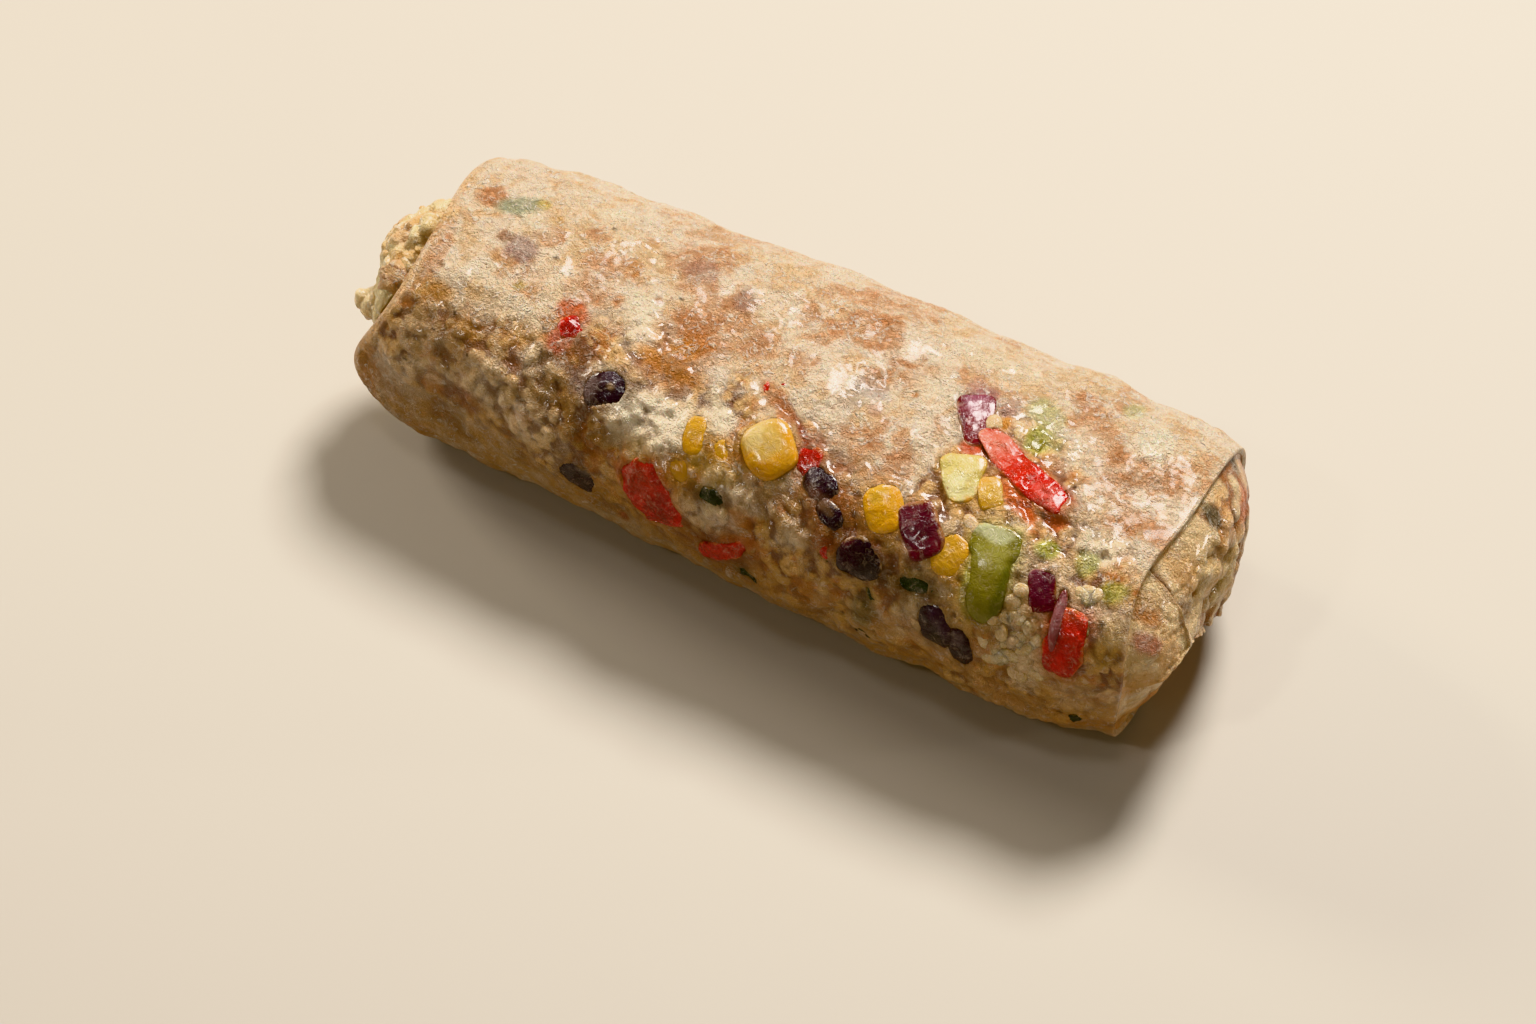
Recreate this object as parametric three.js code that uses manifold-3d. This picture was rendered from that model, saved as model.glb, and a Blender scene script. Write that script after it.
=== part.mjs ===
// A grilled burrito: a flour tortilla rolled round rice, beans and diced vegetables.
//
// Millimetres, +Z up. X runs along the roll, -Y is its front, and it rests on z = 0.
// "along" is a distance along the roll. "around" is an angle about its middle line, which is
// 0 at the crown and grows towards the front.
import * as THREE from 'three';
import { mergeVertices } from 'three/addons/utils/BufferGeometryUtils.js';
import Module from 'manifold-3d';

const wasm = await Module();
wasm.setup();

// ---- Driving sizes ----

const HALF_LENGTH = 88; // of the roll, without what bulges from its ends
const HALF_WIDTH = 34.3;
const HALF_HEIGHT = 26.1;
const SQUARENESS = 2.5; // exponent of the section, where 2 is an ellipse
const FULLER_RIGHT = 2.6; // added to the half width at the right end
const SLIMMER_ENDS = 4; // taken off the half width at both ends
const PRESSED_FLAT = 0.8; // height lost where the roll rests
const WALL = 4; // rolled layers of tortilla
const GAP = 0.3; // between neighbouring pieces
const PIECE_DEPTH = 2.6; // how deep a piece sits in the wall
const DICE_SQUARENESS = 3; // a lobe this square or more is split as a box is
const LEAF = { proud: 0.5, depth: 0.5, wave: 0.3 };
const LEAF_RIPPLES = { lengthwise: 2.5, widthwise: 1.5 };

const MIDDLE_HEIGHT = HALF_HEIGHT - PRESSED_FLAT;
const MEAN_RADIUS = (HALF_WIDTH + HALF_HEIGHT) / 2;

// The rolled lip of the open left end, which reaches further out at the front and the back
const LIP_ALONG = -79.2;
const LIP_FRONT = { around: 98, reach: 10.5 };
const LIP_BACK = { around: -42, reach: 2.8 };
const LIP_SHARPNESS = 4;
const LIP_ROUNDING = 2;
// Its section, from inside the wall to the skin: offsets from the skin and from the lip's end
const LIP_PROFILE = [
  { offset: -1.4 * WALL, along: 0.5 },
  { offset: -0.7 * WALL, along: 0 },
  { offset: -0.3 * WALL, along: 0.15 * LIP_ROUNDING },
  { offset: -0.08 * WALL, along: 0.5 * LIP_ROUNDING },
];

// The crisp rim of the right end, set back above the front and forward below it
const RIM_ALONG = 87.6;
const RIM_WAVES = [{ around: 36, reach: -2.6 }, { around: 80, reach: 1 }];
const RIM_WAVE_SPREAD = 27; // degrees
const RIM_THICKNESS = 1.6;
const RIM_RECESS = 1.5;
const FOLDED_END = 7; // layers of tortilla behind the rim
const ROOM_BULGE = 4; // how far the room inside swells into them
const ROOM_SHOULDER = 0.7; // share of the room's radius where the swelling starts
const OPEN_REACH = 20; // how far the room is carried on past the lip, to cut the opening

// The folded flaps that close the right end, round the point where they meet
const DOME_RISE = 7.5;
const DOME_FULLNESS = 3.4;
const DOME_EDGE = 0.93; // share of the rim's radius
const FLAPS_MEET = { y: -6, z: 27 };
const FLAPS = [
  { from: -105, to: 22, rise: 0.9 }, // upper
  { from: 22, to: 100, rise: 1.7 }, // front
  { from: 100, to: 165, rise: -1.4 }, // lower
];
const FLAP_STEP = 6; // degrees over which one flap steps to the next
const FLAP_FADES = { middle: 0.2, edge: 0.25 }; // shares of the radius over which the steps fade

// The free edge of the sheet, low on the back
const SEAM_AROUND = -118;
const SEAM_SWAY = 3;
const SEAM_LIFT = 1.3;
const SEAM_FADE = 60; // degrees
const SEAM_STEEPNESS = 1.5; // degrees
const SEAM_SWAY_LENGTH = 23;

// How much slimmer the roll gets just before its ends
const LIP_TAPER = 0.3;
const RIM_TAPER = 1.2;
const TAPER_LENGTH = 6;

// Slow waves of the skin
const WAVES = [
  { height: 0.3, perMillimetre: 0.21, turns: 3, phase: 0 },
  { height: 0.25, perMillimetre: 0.13, turns: -5, phase: 1.3 },
  { height: 0.2, perMillimetre: 0.33, turns: 2, phase: 4 },
];

// Broad places where the roll is fuller or slimmer
const SWELLS = [
  { along: -20, around: 100, size: 11, height: -1.1 },
  { along: 60, around: 100, size: 12, height: 1.3 },
  { along: -74, around: 110, size: 14, height: 1.5 },
  { along: -57, around: -50, size: 12, height: 0.6 },
  { along: -36, around: -50, size: 10, height: -0.7 },
  { along: -5, around: -50, size: 12, height: 0.3 },
  { along: 76, around: -50, size: 11, height: 0.5 },
];

// The filling that bulges from the open end: a main lump and a crumb below it
const HEAP_RECESS = 2.2; // behind the lip, at the middle of the opening
const LUMP = { y: -5, z: 35.4, halfWidth: 15, halfHeight: 14.6, rise: 14 };
const LUMP_BLUNTNESS = 3.2;
const HEAP_FOLLOWS_LIP = 1.5;
const CRUMB = { along: -87.8, y: -15.4, z: 29.6, length: 11, width: 6, height: 6.4 };
const CRUMB_TIP = { along: -3.9, y: -1, z: -0.6 }; // from the crumb's middle to its grains
const CRUMB_GRAINS = 7;
const CRUMB_RING = { along: 0.8, y: 2, z: 2.7 }; // of the grains round its tip
const HEAP_GRAINS = 42;
const HEAP_SPREAD = { width: 25, height: 21, crowding: 1.3 };
const SUNFLOWER_ANGLE = 2.4;
const GRAIN = { length: 5.6, width: 2.5, height: 2.3 };
const GRAIN_SEED = 11;
const GRAIN_TILT = 0.3; // how far the grains of the heap stand out of its face

// A tuck of tortilla that laps the front of the lump
const TUCK = { along: -82.6, y: -14, z: 41, halfSizes: [5.8, 7.8, 5], lean: 28 };

// ---- Colours and finishes ----

const FINISHES = {
  tortilla: { color: 0xd9b380, roughness: 0.62 },
  filling: { color: 0xd8c08a, roughness: 0.5 },
  corn: { color: 0xe6b42e, roughness: 0.3 },
  yellow_pepper: { color: 0xe0b02c, roughness: 0.3 },
  red_pepper: { color: 0xb5201a, roughness: 0.28 },
  onion: { color: 0x6b2346, roughness: 0.3 },
  avocado: { color: 0x9aa63a, roughness: 0.35 },
  bean: { color: 0x2e2226, roughness: 0.35 },
  herb: { color: 0x1f3a20, roughness: 0.4 },
};

// ---- Pieces that show through the front ----
// Each lobe lies on the skin: where its middle is, how its length is turned from the roll's
// direction towards the front, its size, and how far it stands proud. An earlier piece cuts
// its room out of the later ones.

const PIECES = [
  {
    name: 'onion_sliver', finish: 'onion',
    lobes: [{ along: 73.3, around: 59, turn: 82, length: 13.5, width: 2.8, proud: 2, depth: 0.9 }],
  },
  {
    name: 'onion_right', finish: 'onion',
    lobes: [{ along: 68.3, around: 51.6, turn: 67, length: 8.4, width: 5.4, proud: 1.1, square: 3.4 }],
  },
  {
    name: 'red_pepper_dice_right', finish: 'red_pepper',
    lobes: [{
      along: 75.9, around: 65, turn: 86, length: 14.6, width: 8.4, proud: 1.3, square: 4.2, wedge: -0.18,
    }],
  },
  {
    name: 'corn_kernel_large', finish: 'corn',
    lobes: [{
      along: 7.2, around: 44, turn: 38, length: 11.8, width: 10.6, proud: 2.9, square: 2.9, wedge: -0.1,
      fineness: 2,
    }],
  },
  {
    name: 'corn_kernel_middle', finish: 'corn',
    lobes: [{ along: -8, around: 49.5, turn: 80, length: 8.4, width: 5.2, proud: 1.2, square: 2.6 }],
  },
  {
    name: 'corn_kernel_small', finish: 'corn',
    lobes: [{ along: -2, around: 50.5, turn: 37, length: 5.1, width: 4.3, proud: 0.9 }],
  },
  {
    name: 'corn_kernel_low', finish: 'corn',
    lobes: [{ along: -8.6, around: 62.4, turn: 44, length: 6.4, width: 5.2, proud: 0.7 }],
  },
  {
    name: 'onion_dark', finish: 'onion',
    lobes: [{
      along: 41.8, around: 48.7, turn: 50, length: 11.4, width: 8, proud: 2, square: 4.5,
    }],
  },
  {
    name: 'yellow_pepper_bright', finish: 'yellow_pepper',
    lobes: [{ along: 33.2, around: 47, turn: 58, length: 9.8, width: 8, proud: 1.6, square: 3 }],
  },
  {
    name: 'yellow_pepper_lower', finish: 'yellow_pepper',
    lobes: [{ along: 49, around: 52.6, turn: 105, length: 8.6, width: 6.6, proud: 1.2, square: 3 }],
  },
  {
    name: 'pale_pepper_wedge', finish: 'yellow_pepper',
    lobes: [{
      along: 44.4, around: 25.6, turn: 65, length: 10.8, width: 8, proud: 1.5, square: 4, wedge: -0.4,
    }],
  },
  {
    name: 'yellow_pepper_small', finish: 'yellow_pepper',
    lobes: [{ along: 50.9, around: 27, turn: 58, length: 7.2, width: 5.2, proud: 1.5, square: 3.6 }],
  },
  {
    name: 'red_pepper_strip', finish: 'red_pepper',
    lobes: [{
      along: 54.4, around: 13, turn: 23, length: 24.8, width: 6.4, proud: 1.6, square: 3, bend: -0.9,
      fineness: 2,
    }],
  },
  {
    name: 'avocado', finish: 'avocado',
    lobes: [
      { along: 56.6, around: 56, turn: 76, length: 16.6, width: 9, proud: 1.7, fineness: 2 },
      { along: 59.4, around: 40, turn: -12, length: 9.4, width: 6.2, proud: 1.5, square: 2.4 },
    ],
  },
  {
    name: 'onion_magenta', finish: 'onion',
    lobes: [{
      along: 41, around: -2.6, turn: 64, length: 12.6, width: 7.2, proud: 0.9, square: 3.4, wedge: -0.3,
    }],
  },
  {
    name: 'red_pepper_dice_left', finish: 'red_pepper',
    lobes: [{
      along: -13.8, around: 78.8, turn: 54, length: 16.6, width: 10, proud: 1, square: 3.6,
    }],
  },
  {
    name: 'red_pepper_low', finish: 'red_pepper',
    lobes: [{
      along: 3.2, around: 87.3, turn: -43, length: 15.6, width: 5, proud: 0.9, square: 2.6, wedge: -0.2,
    }],
  },
  {
    name: 'red_pepper_dark', finish: 'red_pepper',
    lobes: [{ along: 15.3, around: 42.6, turn: 68, length: 6, width: 5.4, proud: 0.9, square: 3 }],
  },
  {
    name: 'red_pepper_bit', finish: 'red_pepper',
    lobes: [{ along: -42.2, around: 31.1, turn: -53, length: 5.6, width: 4.8, proud: 0.8, square: 2.6 }],
  },
  {
    name: 'black_bean_veiled', finish: 'bean',
    lobes: [{ along: -29.6, around: 47.3, turn: -38, length: 10.8, width: 7.6, proud: 0.8, bend: 0.8 }],
  },
  {
    name: 'black_bean_left', finish: 'bean',
    lobes: [{ along: -31.2, around: 86.2, turn: 43, length: 9.6, width: 7.4, proud: 0.9, bend: 0.6 }],
  },
  {
    name: 'black_bean_split', finish: 'bean',
    lobes: [
      { along: 19.4, around: 48, turn: 20, length: 8.4, width: 7, proud: 1.1, bend: -0.8 },
      { along: 23.4, around: 55.4, turn: 20, length: 8, width: 5, proud: 0.8 },
    ],
  },
  {
    name: 'black_bean_dark', finish: 'bean',
    lobes: [{ along: 32, around: 65.8, turn: -5, length: 10.6, width: 9.2, proud: 1.4, bend: 0.9 }],
  },
  {
    name: 'black_bean_right', finish: 'bean',
    lobes: [
      { along: 50.6, around: 77, turn: 70, length: 11, width: 7.6, proud: 1.3 },
      { along: 56.4, around: 81.5, turn: 75, length: 10.4, width: 5.6, proud: 1 },
    ],
  },
  {
    name: 'herb_leaf_right', finish: 'herb',
    lobes: [{ along: 44.2, around: 66, turn: -13, length: 8.4, width: 4.8, ...LEAF }],
  },
  {
    name: 'herb_leaf_left', finish: 'herb',
    lobes: [{ along: -1, around: 66.4, turn: -3, length: 6.6, width: 3.8, ...LEAF }],
  },
  {
    name: 'herb_leaf_low', finish: 'herb',
    lobes: [{ along: 9.2, around: 93.5, turn: 8, length: 6.2, width: 4, ...LEAF }],
  },
];

// Grains of rice that show beside the pieces: place, turn and size
const SKIN_GRAINS = [
  { along: 64.6, around: 77.6, turn: -35, length: 8.4, width: 4.6 },
  { along: 67.6, around: 66, turn: -14, length: 6.6, width: 4 },
  { along: 63.6, around: 61, turn: 36, length: 5, width: 3.4 },
  { along: 69.4, around: 76.6, turn: -80, length: 5.2, width: 2.4 },
  { along: 71.4, around: 83.6, turn: -37, length: 5, width: 2.8 },
  { along: 47.4, around: 7, turn: -20, length: 4.4, width: 3 },
  { along: 51.6, around: -4.6, turn: 30, length: 5, width: 3.2 },
  { along: 50.4, around: 40.6, turn: 35, length: 5.8, width: 3 },
  { along: 38.6, around: 58.6, turn: 20, length: 6, width: 3 },
  { along: 1.4, around: 58, turn: 10, length: 5.6, width: 3 },
  { along: 13.6, around: 56, turn: -15, length: 5.8, width: 3 },
  { along: 24.6, around: 37, turn: 60, length: 5.4, width: 2.8 },
  { along: 76, around: 48, turn: 25, length: 5.6, width: 2.8 },
  { along: 79.6, around: 56, turn: 80, length: 5.4, width: 2.8 },
  { along: -15, around: 55, turn: 50, length: 5.6, width: 2.8 },
];
const SKIN_GRAIN_SET = { proud: 1, depth: 1, fineness: 0 };

// ---- How finely the shapes are split ----

const MERGE_DISTANCE = 1e-4;
const SKIN_STEPS = 38;
const SKIN_RINGS = 34;
const DOME_RINGS = 8;
const CORE_STEPS = 20;
const CORE_RINGS = 10;
const HEAP_RINGS = 7;

// ---- The skin's shape ----

const radians = THREE.MathUtils.degToRad;

function bump(distance, width) {
  return Math.exp(-((distance / width) ** 2));
}

function endLip(around) {
  const reaches = [LIP_FRONT, LIP_BACK].map((side) => {
    const facing = Math.max(0, Math.cos(around - radians(side.around)));
    return side.reach * facing ** LIP_SHARPNESS;
  });
  return LIP_ALONG - reaches[0] - reaches[1];
}

function endRim(around) {
  let along = RIM_ALONG;
  for (const wave of RIM_WAVES) {
    const apart = Math.abs(THREE.MathUtils.radToDeg(around) - wave.around);
    along += wave.reach * bump(Math.min(apart, 360 - apart), RIM_WAVE_SPREAD);
  }
  return along;
}

function waves(along, around) {
  let height = 0;
  for (const wave of WAVES) {
    height += wave.height * Math.sin(wave.perMillimetre * along + wave.turns * around + wave.phase);
  }
  return height;
}

function swells(along, around) {
  let height = 0;
  for (const swell of SWELLS) {
    const across = (around - radians(swell.around)) * MEAN_RADIUS;
    height += swell.height * bump(Math.hypot(along - swell.along, across), swell.size);
  }
  return height;
}

function seamAt(along) {
  return radians(SEAM_AROUND + SEAM_SWAY * Math.sin(along / SEAM_SWAY_LENGTH));
}

function seamLift(along, around) {
  const past = THREE.MathUtils.euclideanModulo(around - seamAt(along), 2 * Math.PI);
  return SEAM_LIFT * (1 - THREE.MathUtils.smoothstep(past, 0, radians(SEAM_FADE)));
}

function taper(along) {
  const atLip = LIP_TAPER * Math.exp((LIP_ALONG - along) / TAPER_LENGTH);
  const atRim = RIM_TAPER * Math.exp((along - RIM_ALONG) / TAPER_LENGTH);
  return atLip + atRim;
}

function bodyRadius(along, around) {
  const share = along / HALF_LENGTH;
  const halfWidth = HALF_WIDTH + FULLER_RIGHT * share - SLIMMER_ENDS * share ** 2;
  const sideways = Math.abs(Math.sin(around)) / halfWidth;
  const upwards = Math.abs(Math.cos(around)) / HALF_HEIGHT;
  const section = (sideways ** SQUARENESS + upwards ** SQUARENESS) ** (-1 / SQUARENESS);
  return section + waves(along, around) + swells(along, around) - taper(along);
}

function pointAt(along, around, radius) {
  const y = -radius * Math.sin(around);
  const z = MIDDLE_HEIGHT + radius * Math.cos(around);
  return new THREE.Vector3(along, y, Math.max(0, z));
}

function skinPoint(along, around, offset = 0) {
  const radius = bodyRadius(along, around) + seamLift(along, around) + offset;
  return pointAt(along, around, radius);
}

// The folded end: how far it bulges at a share of the radius, with its flaps' steps
function inSector(bearing, flap) {
  const enter = THREE.MathUtils.smoothstep(bearing, flap.from - FLAP_STEP, flap.from);
  const leave = THREE.MathUtils.smoothstep(bearing, flap.to - FLAP_STEP, flap.to);
  return flap.rise * (enter - leave);
}

function domePoint(share, around) {
  const rim = endRim(around) - RIM_RECESS;
  const point = pointAt(rim, around, bodyRadius(RIM_ALONG, around) * share);
  const bearing = Math.atan2(FLAPS_MEET.y - point.y, point.z - FLAPS_MEET.z);
  const degrees = THREE.MathUtils.radToDeg(bearing);
  const flaps = FLAPS.reduce((rise, flap) => rise + inSector(degrees, flap), 0);
  const bulge = DOME_RISE * (1 - (share / DOME_EDGE) ** DOME_FULLNESS);
  const level = THREE.MathUtils.lerp(RIM_ALONG - RIM_RECESS, rim, share / DOME_EDGE);
  const fromMiddle = Math.min(1, share / FLAP_FADES.middle);
  const fromEdge = Math.min(1, (DOME_EDGE - share) / FLAP_FADES.edge);
  point.x = level + bulge + flaps * fromMiddle * fromEdge;
  return point;
}

// ---- Making and joining solids ----

// A closed body of rings. placeVertex gets the ring's number and the step round it.
function ringBody(rings, steps, placeVertex) {
  const geometry = new THREE.SphereGeometry(1, steps, rings);
  const position = geometry.attributes.position;
  for (let index = 0; index < position.count; index += 1) {
    const ring = Math.floor(index / (steps + 1));
    const step = (steps - (index % (steps + 1))) % steps;
    const point = placeVertex(ring, step);
    position.setXYZ(index, point.x, point.y, point.z);
  }
  return geometry;
}

function toSolid(geometry) {
  geometry.deleteAttribute('normal');
  geometry.deleteAttribute('uv');
  const merged = mergeVertices(geometry, MERGE_DISTANCE);
  const mesh = new wasm.Mesh({
    numProp: 3,
    vertProperties: new Float32Array(merged.attributes.position.array),
    triVerts: new Uint32Array(merged.index.array),
  });
  return new wasm.Manifold(mesh);
}

function toGeometry(solid) {
  const mesh = solid.getMesh();
  const geometry = new THREE.BufferGeometry();
  geometry.setAttribute('position', new THREE.BufferAttribute(mesh.vertProperties, 3));
  geometry.setIndex(new THREE.BufferAttribute(mesh.triVerts, 1));
  geometry.computeVertexNormals();
  return geometry;
}

function addAll(solids) {
  return solids.reduce((joined, solid) => joined.add(solid));
}

function cutAll(solid, cutters) {
  return cutters.reduce((left, cutter) => left.subtract(cutter), solid);
}

function withoutScraps(solid) {
  const bodies = solid.decompose();
  return bodies.reduce((largest, body) => (body.volume() > largest.volume() ? body : largest));
}

// ---- The tortilla ----

function skinAround(step) {
  const spacing = (2 * Math.PI - radians(SEAM_STEEPNESS)) / (SKIN_STEPS - 1);
  return radians(SEAM_AROUND) + step * spacing;
}

// Steps start at the seam's high side. The last one is just past the seam's low side.
function seamAligned(along, around) {
  return around + seamAt(along) - radians(SEAM_AROUND);
}

function outerPoint(ring, step) {
  const base = skinAround(step);
  const lipRings = LIP_PROFILE.length;
  if (ring === 0) {
    return pointAt(LIP_ALONG + 1, 0, 0);
  }
  if (ring <= lipRings) {
    const { offset, along } = LIP_PROFILE[ring - 1];
    const place = endLip(base) + along;
    return skinPoint(place, seamAligned(place, base), offset);
  }
  const bodyRing = ring - lipRings - 1;
  if (bodyRing < SKIN_RINGS) {
    const share = bodyRing / (SKIN_RINGS - 1);
    const along = THREE.MathUtils.lerp(endLip(base) + LIP_ROUNDING, endRim(base), share);
    return skinPoint(along, seamAligned(along, base));
  }
  const around = seamAligned(RIM_ALONG, base);
  if (bodyRing === SKIN_RINGS) {
    return skinPoint(endRim(base), around, -RIM_THICKNESS);
  }
  const domeRing = bodyRing - SKIN_RINGS - 1;
  return domePoint(DOME_EDGE * (1 - domeRing / DOME_RINGS), around);
}

function outerSkin() {
  const rings = LIP_PROFILE.length + 1 + SKIN_RINGS + 1 + DOME_RINGS;
  return toSolid(ringBody(rings, SKIN_STEPS, outerPoint));
}

// Rings of the room inside: straight out of the open end, and closing short of the dome.
// With an inset it is the space that the filling may take.
function roomPoint(ring, step, inset) {
  const around = (2 * Math.PI * step) / CORE_STEPS - Math.PI;
  const farEnd = RIM_ALONG - FOLDED_END;
  if (ring > CORE_RINGS) {
    const share = ring === CORE_RINGS + 1 ? ROOM_SHOULDER : 0;
    const radius = (bodyRadius(farEnd, around) - WALL - inset) * share;
    return pointAt(farEnd + ROOM_BULGE * (1 - share) - inset, around, radius);
  }
  const share = (ring - 2) / (CORE_RINGS - 2);
  const along = ring < 2 ? LIP_ALONG - OPEN_REACH : THREE.MathUtils.lerp(LIP_ALONG, farEnd, share);
  const radius = ring === 0 ? 0 : bodyRadius(Math.max(along, LIP_ALONG), around) - WALL - inset;
  const point = pointAt(along, around, radius);
  point.z = Math.max(point.z, WALL + inset - PRESSED_FLAT);
  return point;
}

function room(inset = 0) {
  return toSolid(ringBody(CORE_RINGS + 2, CORE_STEPS, (ring, step) => roomPoint(ring, step, inset)));
}

// ---- Pieces laid on the skin ----

function frameOn(along, around) {
  const nearby = 0.5;
  const turn = 0.02;
  const origin = skinPoint(along, around);
  const alongRoll = skinPoint(along + nearby, around).sub(skinPoint(along - nearby, around)).normalize();
  const turned = skinPoint(along, around + turn).sub(skinPoint(along, around - turn));
  const speed = turned.length() / (2 * turn);
  const outward = alongRoll.clone().cross(turned).negate().normalize();
  return { origin, outward, speed };
}

// A point that lies "over" the skin, "forwards" along the roll and "down" towards the front
function drape(along, around, forwards, down, over) {
  const { speed } = frameOn(along, around);
  const spot = frameOn(along + forwards, around + down / speed);
  return spot.origin.addScaledVector(spot.outward, over);
}

function lobeSolid(lobe, clearance) {
  const { square = 2.2, wedge = 0, bend = 0, wave = 0, depth = PIECE_DEPTH, fineness = 1 } = lobe;
  const geometry = square < DICE_SQUARENESS
    ? new THREE.IcosahedronGeometry(1, fineness)
    : new THREE.BoxGeometry(1, 1, 1, fineness + 1, fineness + 1, 2);
  const position = geometry.attributes.position;
  const turn = radians(lobe.turn);
  const around = radians(lobe.around);
  const vertex = new THREE.Vector3();
  for (let index = 0; index < position.count; index += 1) {
    vertex.fromBufferAttribute(position, index);
    const powers = vertex.toArray().map((side) => Math.abs(side) ** square);
    vertex.multiplyScalar((powers[0] + powers[1] + powers[2]) ** (-1 / square));
    const lengthwise = vertex.x * (lobe.length / 2 + clearance);
    const narrowing = 1 + wedge * vertex.x;
    const widthwise = bend * vertex.x ** 2 - vertex.y * (lobe.width / 2 + clearance) * narrowing;
    const reach = vertex.z > 0 ? lobe.proud : depth;
    const ripple = wave * Math.sin(LEAF_RIPPLES.lengthwise * vertex.x + LEAF_RIPPLES.widthwise * vertex.y);
    const over = vertex.z * (reach + clearance) + ripple;
    const forwards = lengthwise * Math.cos(turn) - widthwise * Math.sin(turn);
    const down = lengthwise * Math.sin(turn) + widthwise * Math.cos(turn);
    const point = drape(lobe.along, around, forwards, down, over);
    position.setXYZ(index, point.x, point.y, point.z);
  }
  return toSolid(geometry);
}

function pieceSolid(piece, clearance = 0) {
  return addAll(piece.lobes.map((lobe) => lobeSolid(lobe, clearance)));
}

function skinGrains() {
  return SKIN_GRAINS.map((grain) => lobeSolid({ ...grain, ...SKIN_GRAIN_SET }, 0));
}

// ---- The filling ----

// The heap's face follows the lip, and the lump stands out of it
function heapReach(y, z) {
  const apart = Math.hypot((y - LUMP.y) / LUMP.halfWidth, (z - LUMP.z) / LUMP.halfHeight);
  const around = Math.atan2(-y, z - MIDDLE_HEIGHT);
  const share = Math.min(1, Math.hypot(y, z - MIDDLE_HEIGHT) / bodyRadius(LIP_ALONG, around));
  const face = LIP_ALONG + HEAP_RECESS + (endLip(around) - LIP_ALONG) * share ** HEAP_FOLLOWS_LIP;
  return face - LUMP.rise * Math.exp(-(apart ** LUMP_BLUNTNESS));
}

// A body that reaches past the room's walls, with the heap's bulge as its left face
function heapPoint(ring, step) {
  const around = (2 * Math.PI * step) / CORE_STEPS - Math.PI;
  const share = ring > HEAP_RINGS + 1 ? 0 : Math.min(1, ring / HEAP_RINGS);
  const point = pointAt(RIM_ALONG, around, bodyRadius(LIP_ALONG, around) * share);
  if (ring <= HEAP_RINGS) {
    point.x = heapReach(point.y, point.z);
  }
  return point;
}

function grainSolid(centre, direction, size, fineness = 0) {
  const geometry = new THREE.IcosahedronGeometry(0.5, fineness);
  geometry.scale(size.length, size.width, size.height);
  const turn = new THREE.Quaternion().setFromUnitVectors(new THREE.Vector3(1, 0, 0), direction);
  geometry.applyQuaternion(turn);
  geometry.translate(centre.x, centre.y, centre.z);
  return toSolid(geometry);
}

// Grains over the open end, spaced as seeds are in a sunflower, closer together on the lump
function heapGrains() {
  const random = THREE.MathUtils.seededRandom;
  random(GRAIN_SEED);
  const grains = [];
  for (let count = 0; count < HEAP_GRAINS; count += 1) {
    const spread = Math.sqrt((count + 0.5) / HEAP_GRAINS) ** HEAP_SPREAD.crowding;
    const bearing = count * SUNFLOWER_ANGLE;
    const y = LUMP.y + HEAP_SPREAD.width * spread * Math.cos(bearing);
    const z = LUMP.z + HEAP_SPREAD.height * spread * Math.sin(bearing);
    const centre = new THREE.Vector3(heapReach(y, z), y, z);
    const lean = random() * Math.PI;
    const outwards = GRAIN_TILT * (random() - 0.5);
    const direction = new THREE.Vector3(outwards, Math.cos(lean), Math.sin(lean)).normalize();
    grains.push(grainSolid(centre, direction, GRAIN));
  }
  return grains;
}

function crumbGrains() {
  const centre = new THREE.Vector3(CRUMB.along, CRUMB.y, CRUMB.z);
  const tip = new THREE.Vector3(CRUMB_TIP.along, CRUMB_TIP.y, CRUMB_TIP.z);
  const grains = [grainSolid(centre, tip.clone().normalize(), CRUMB, 1)];
  for (let count = 0; count < CRUMB_GRAINS; count += 1) {
    const bearing = (2 * Math.PI * count) / CRUMB_GRAINS;
    const place = centre.clone().add(tip);
    place.x += CRUMB_RING.along * Math.sin(2 * bearing);
    place.y += CRUMB_RING.y * Math.cos(bearing);
    place.z += CRUMB_RING.z * Math.sin(bearing);
    const direction = new THREE.Vector3(0.5, Math.sin(bearing), Math.cos(2 * bearing)).normalize();
    grains.push(grainSolid(place, direction, GRAIN));
  }
  return grains;
}

function tuckSolid(clearance) {
  const geometry = new THREE.IcosahedronGeometry(1, 2);
  geometry.scale(...TUCK.halfSizes.map((size) => size + clearance));
  geometry.rotateX(radians(TUCK.lean));
  geometry.translate(TUCK.along, TUCK.y, TUCK.z);
  return toSolid(geometry);
}

// ---- The object ----

function addMesh(group, name, finish, solid) {
  const material = new THREE.MeshStandardMaterial({ ...FINISHES[finish], metalness: 0 });
  const mesh = new THREE.Mesh(toGeometry(solid), material);
  mesh.name = name;
  group.add(mesh);
}

function tortillaSolid(pockets) {
  const shell = addAll([outerSkin(), ...skinGrains()]).subtract(room());
  const tucked = shell.add(tuckSolid(0).intersect(outerSkin().add(room())));
  return cutAll(tucked, pockets);
}

function fillingSolid() {
  const heap = toSolid(ringBody(HEAP_RINGS + 2, CORE_STEPS, heapPoint));
  const lumpy = addAll([heap, ...heapGrains(), ...crumbGrains()]);
  return withoutScraps(lumpy.intersect(room(GAP)).subtract(tuckSolid(GAP)));
}

function burrito() {
  const group = new THREE.Group();
  const pockets = PIECES.map((piece) => pieceSolid(piece, GAP));
  addMesh(group, 'tortilla', 'tortilla', tortillaSolid(pockets));
  addMesh(group, 'filling', 'filling', fillingSolid());
  PIECES.forEach((piece, index) => {
    addMesh(group, piece.name, piece.finish, cutAll(pieceSolid(piece), pockets.slice(0, index)));
  });
  return group;
}

export default burrito();
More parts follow.
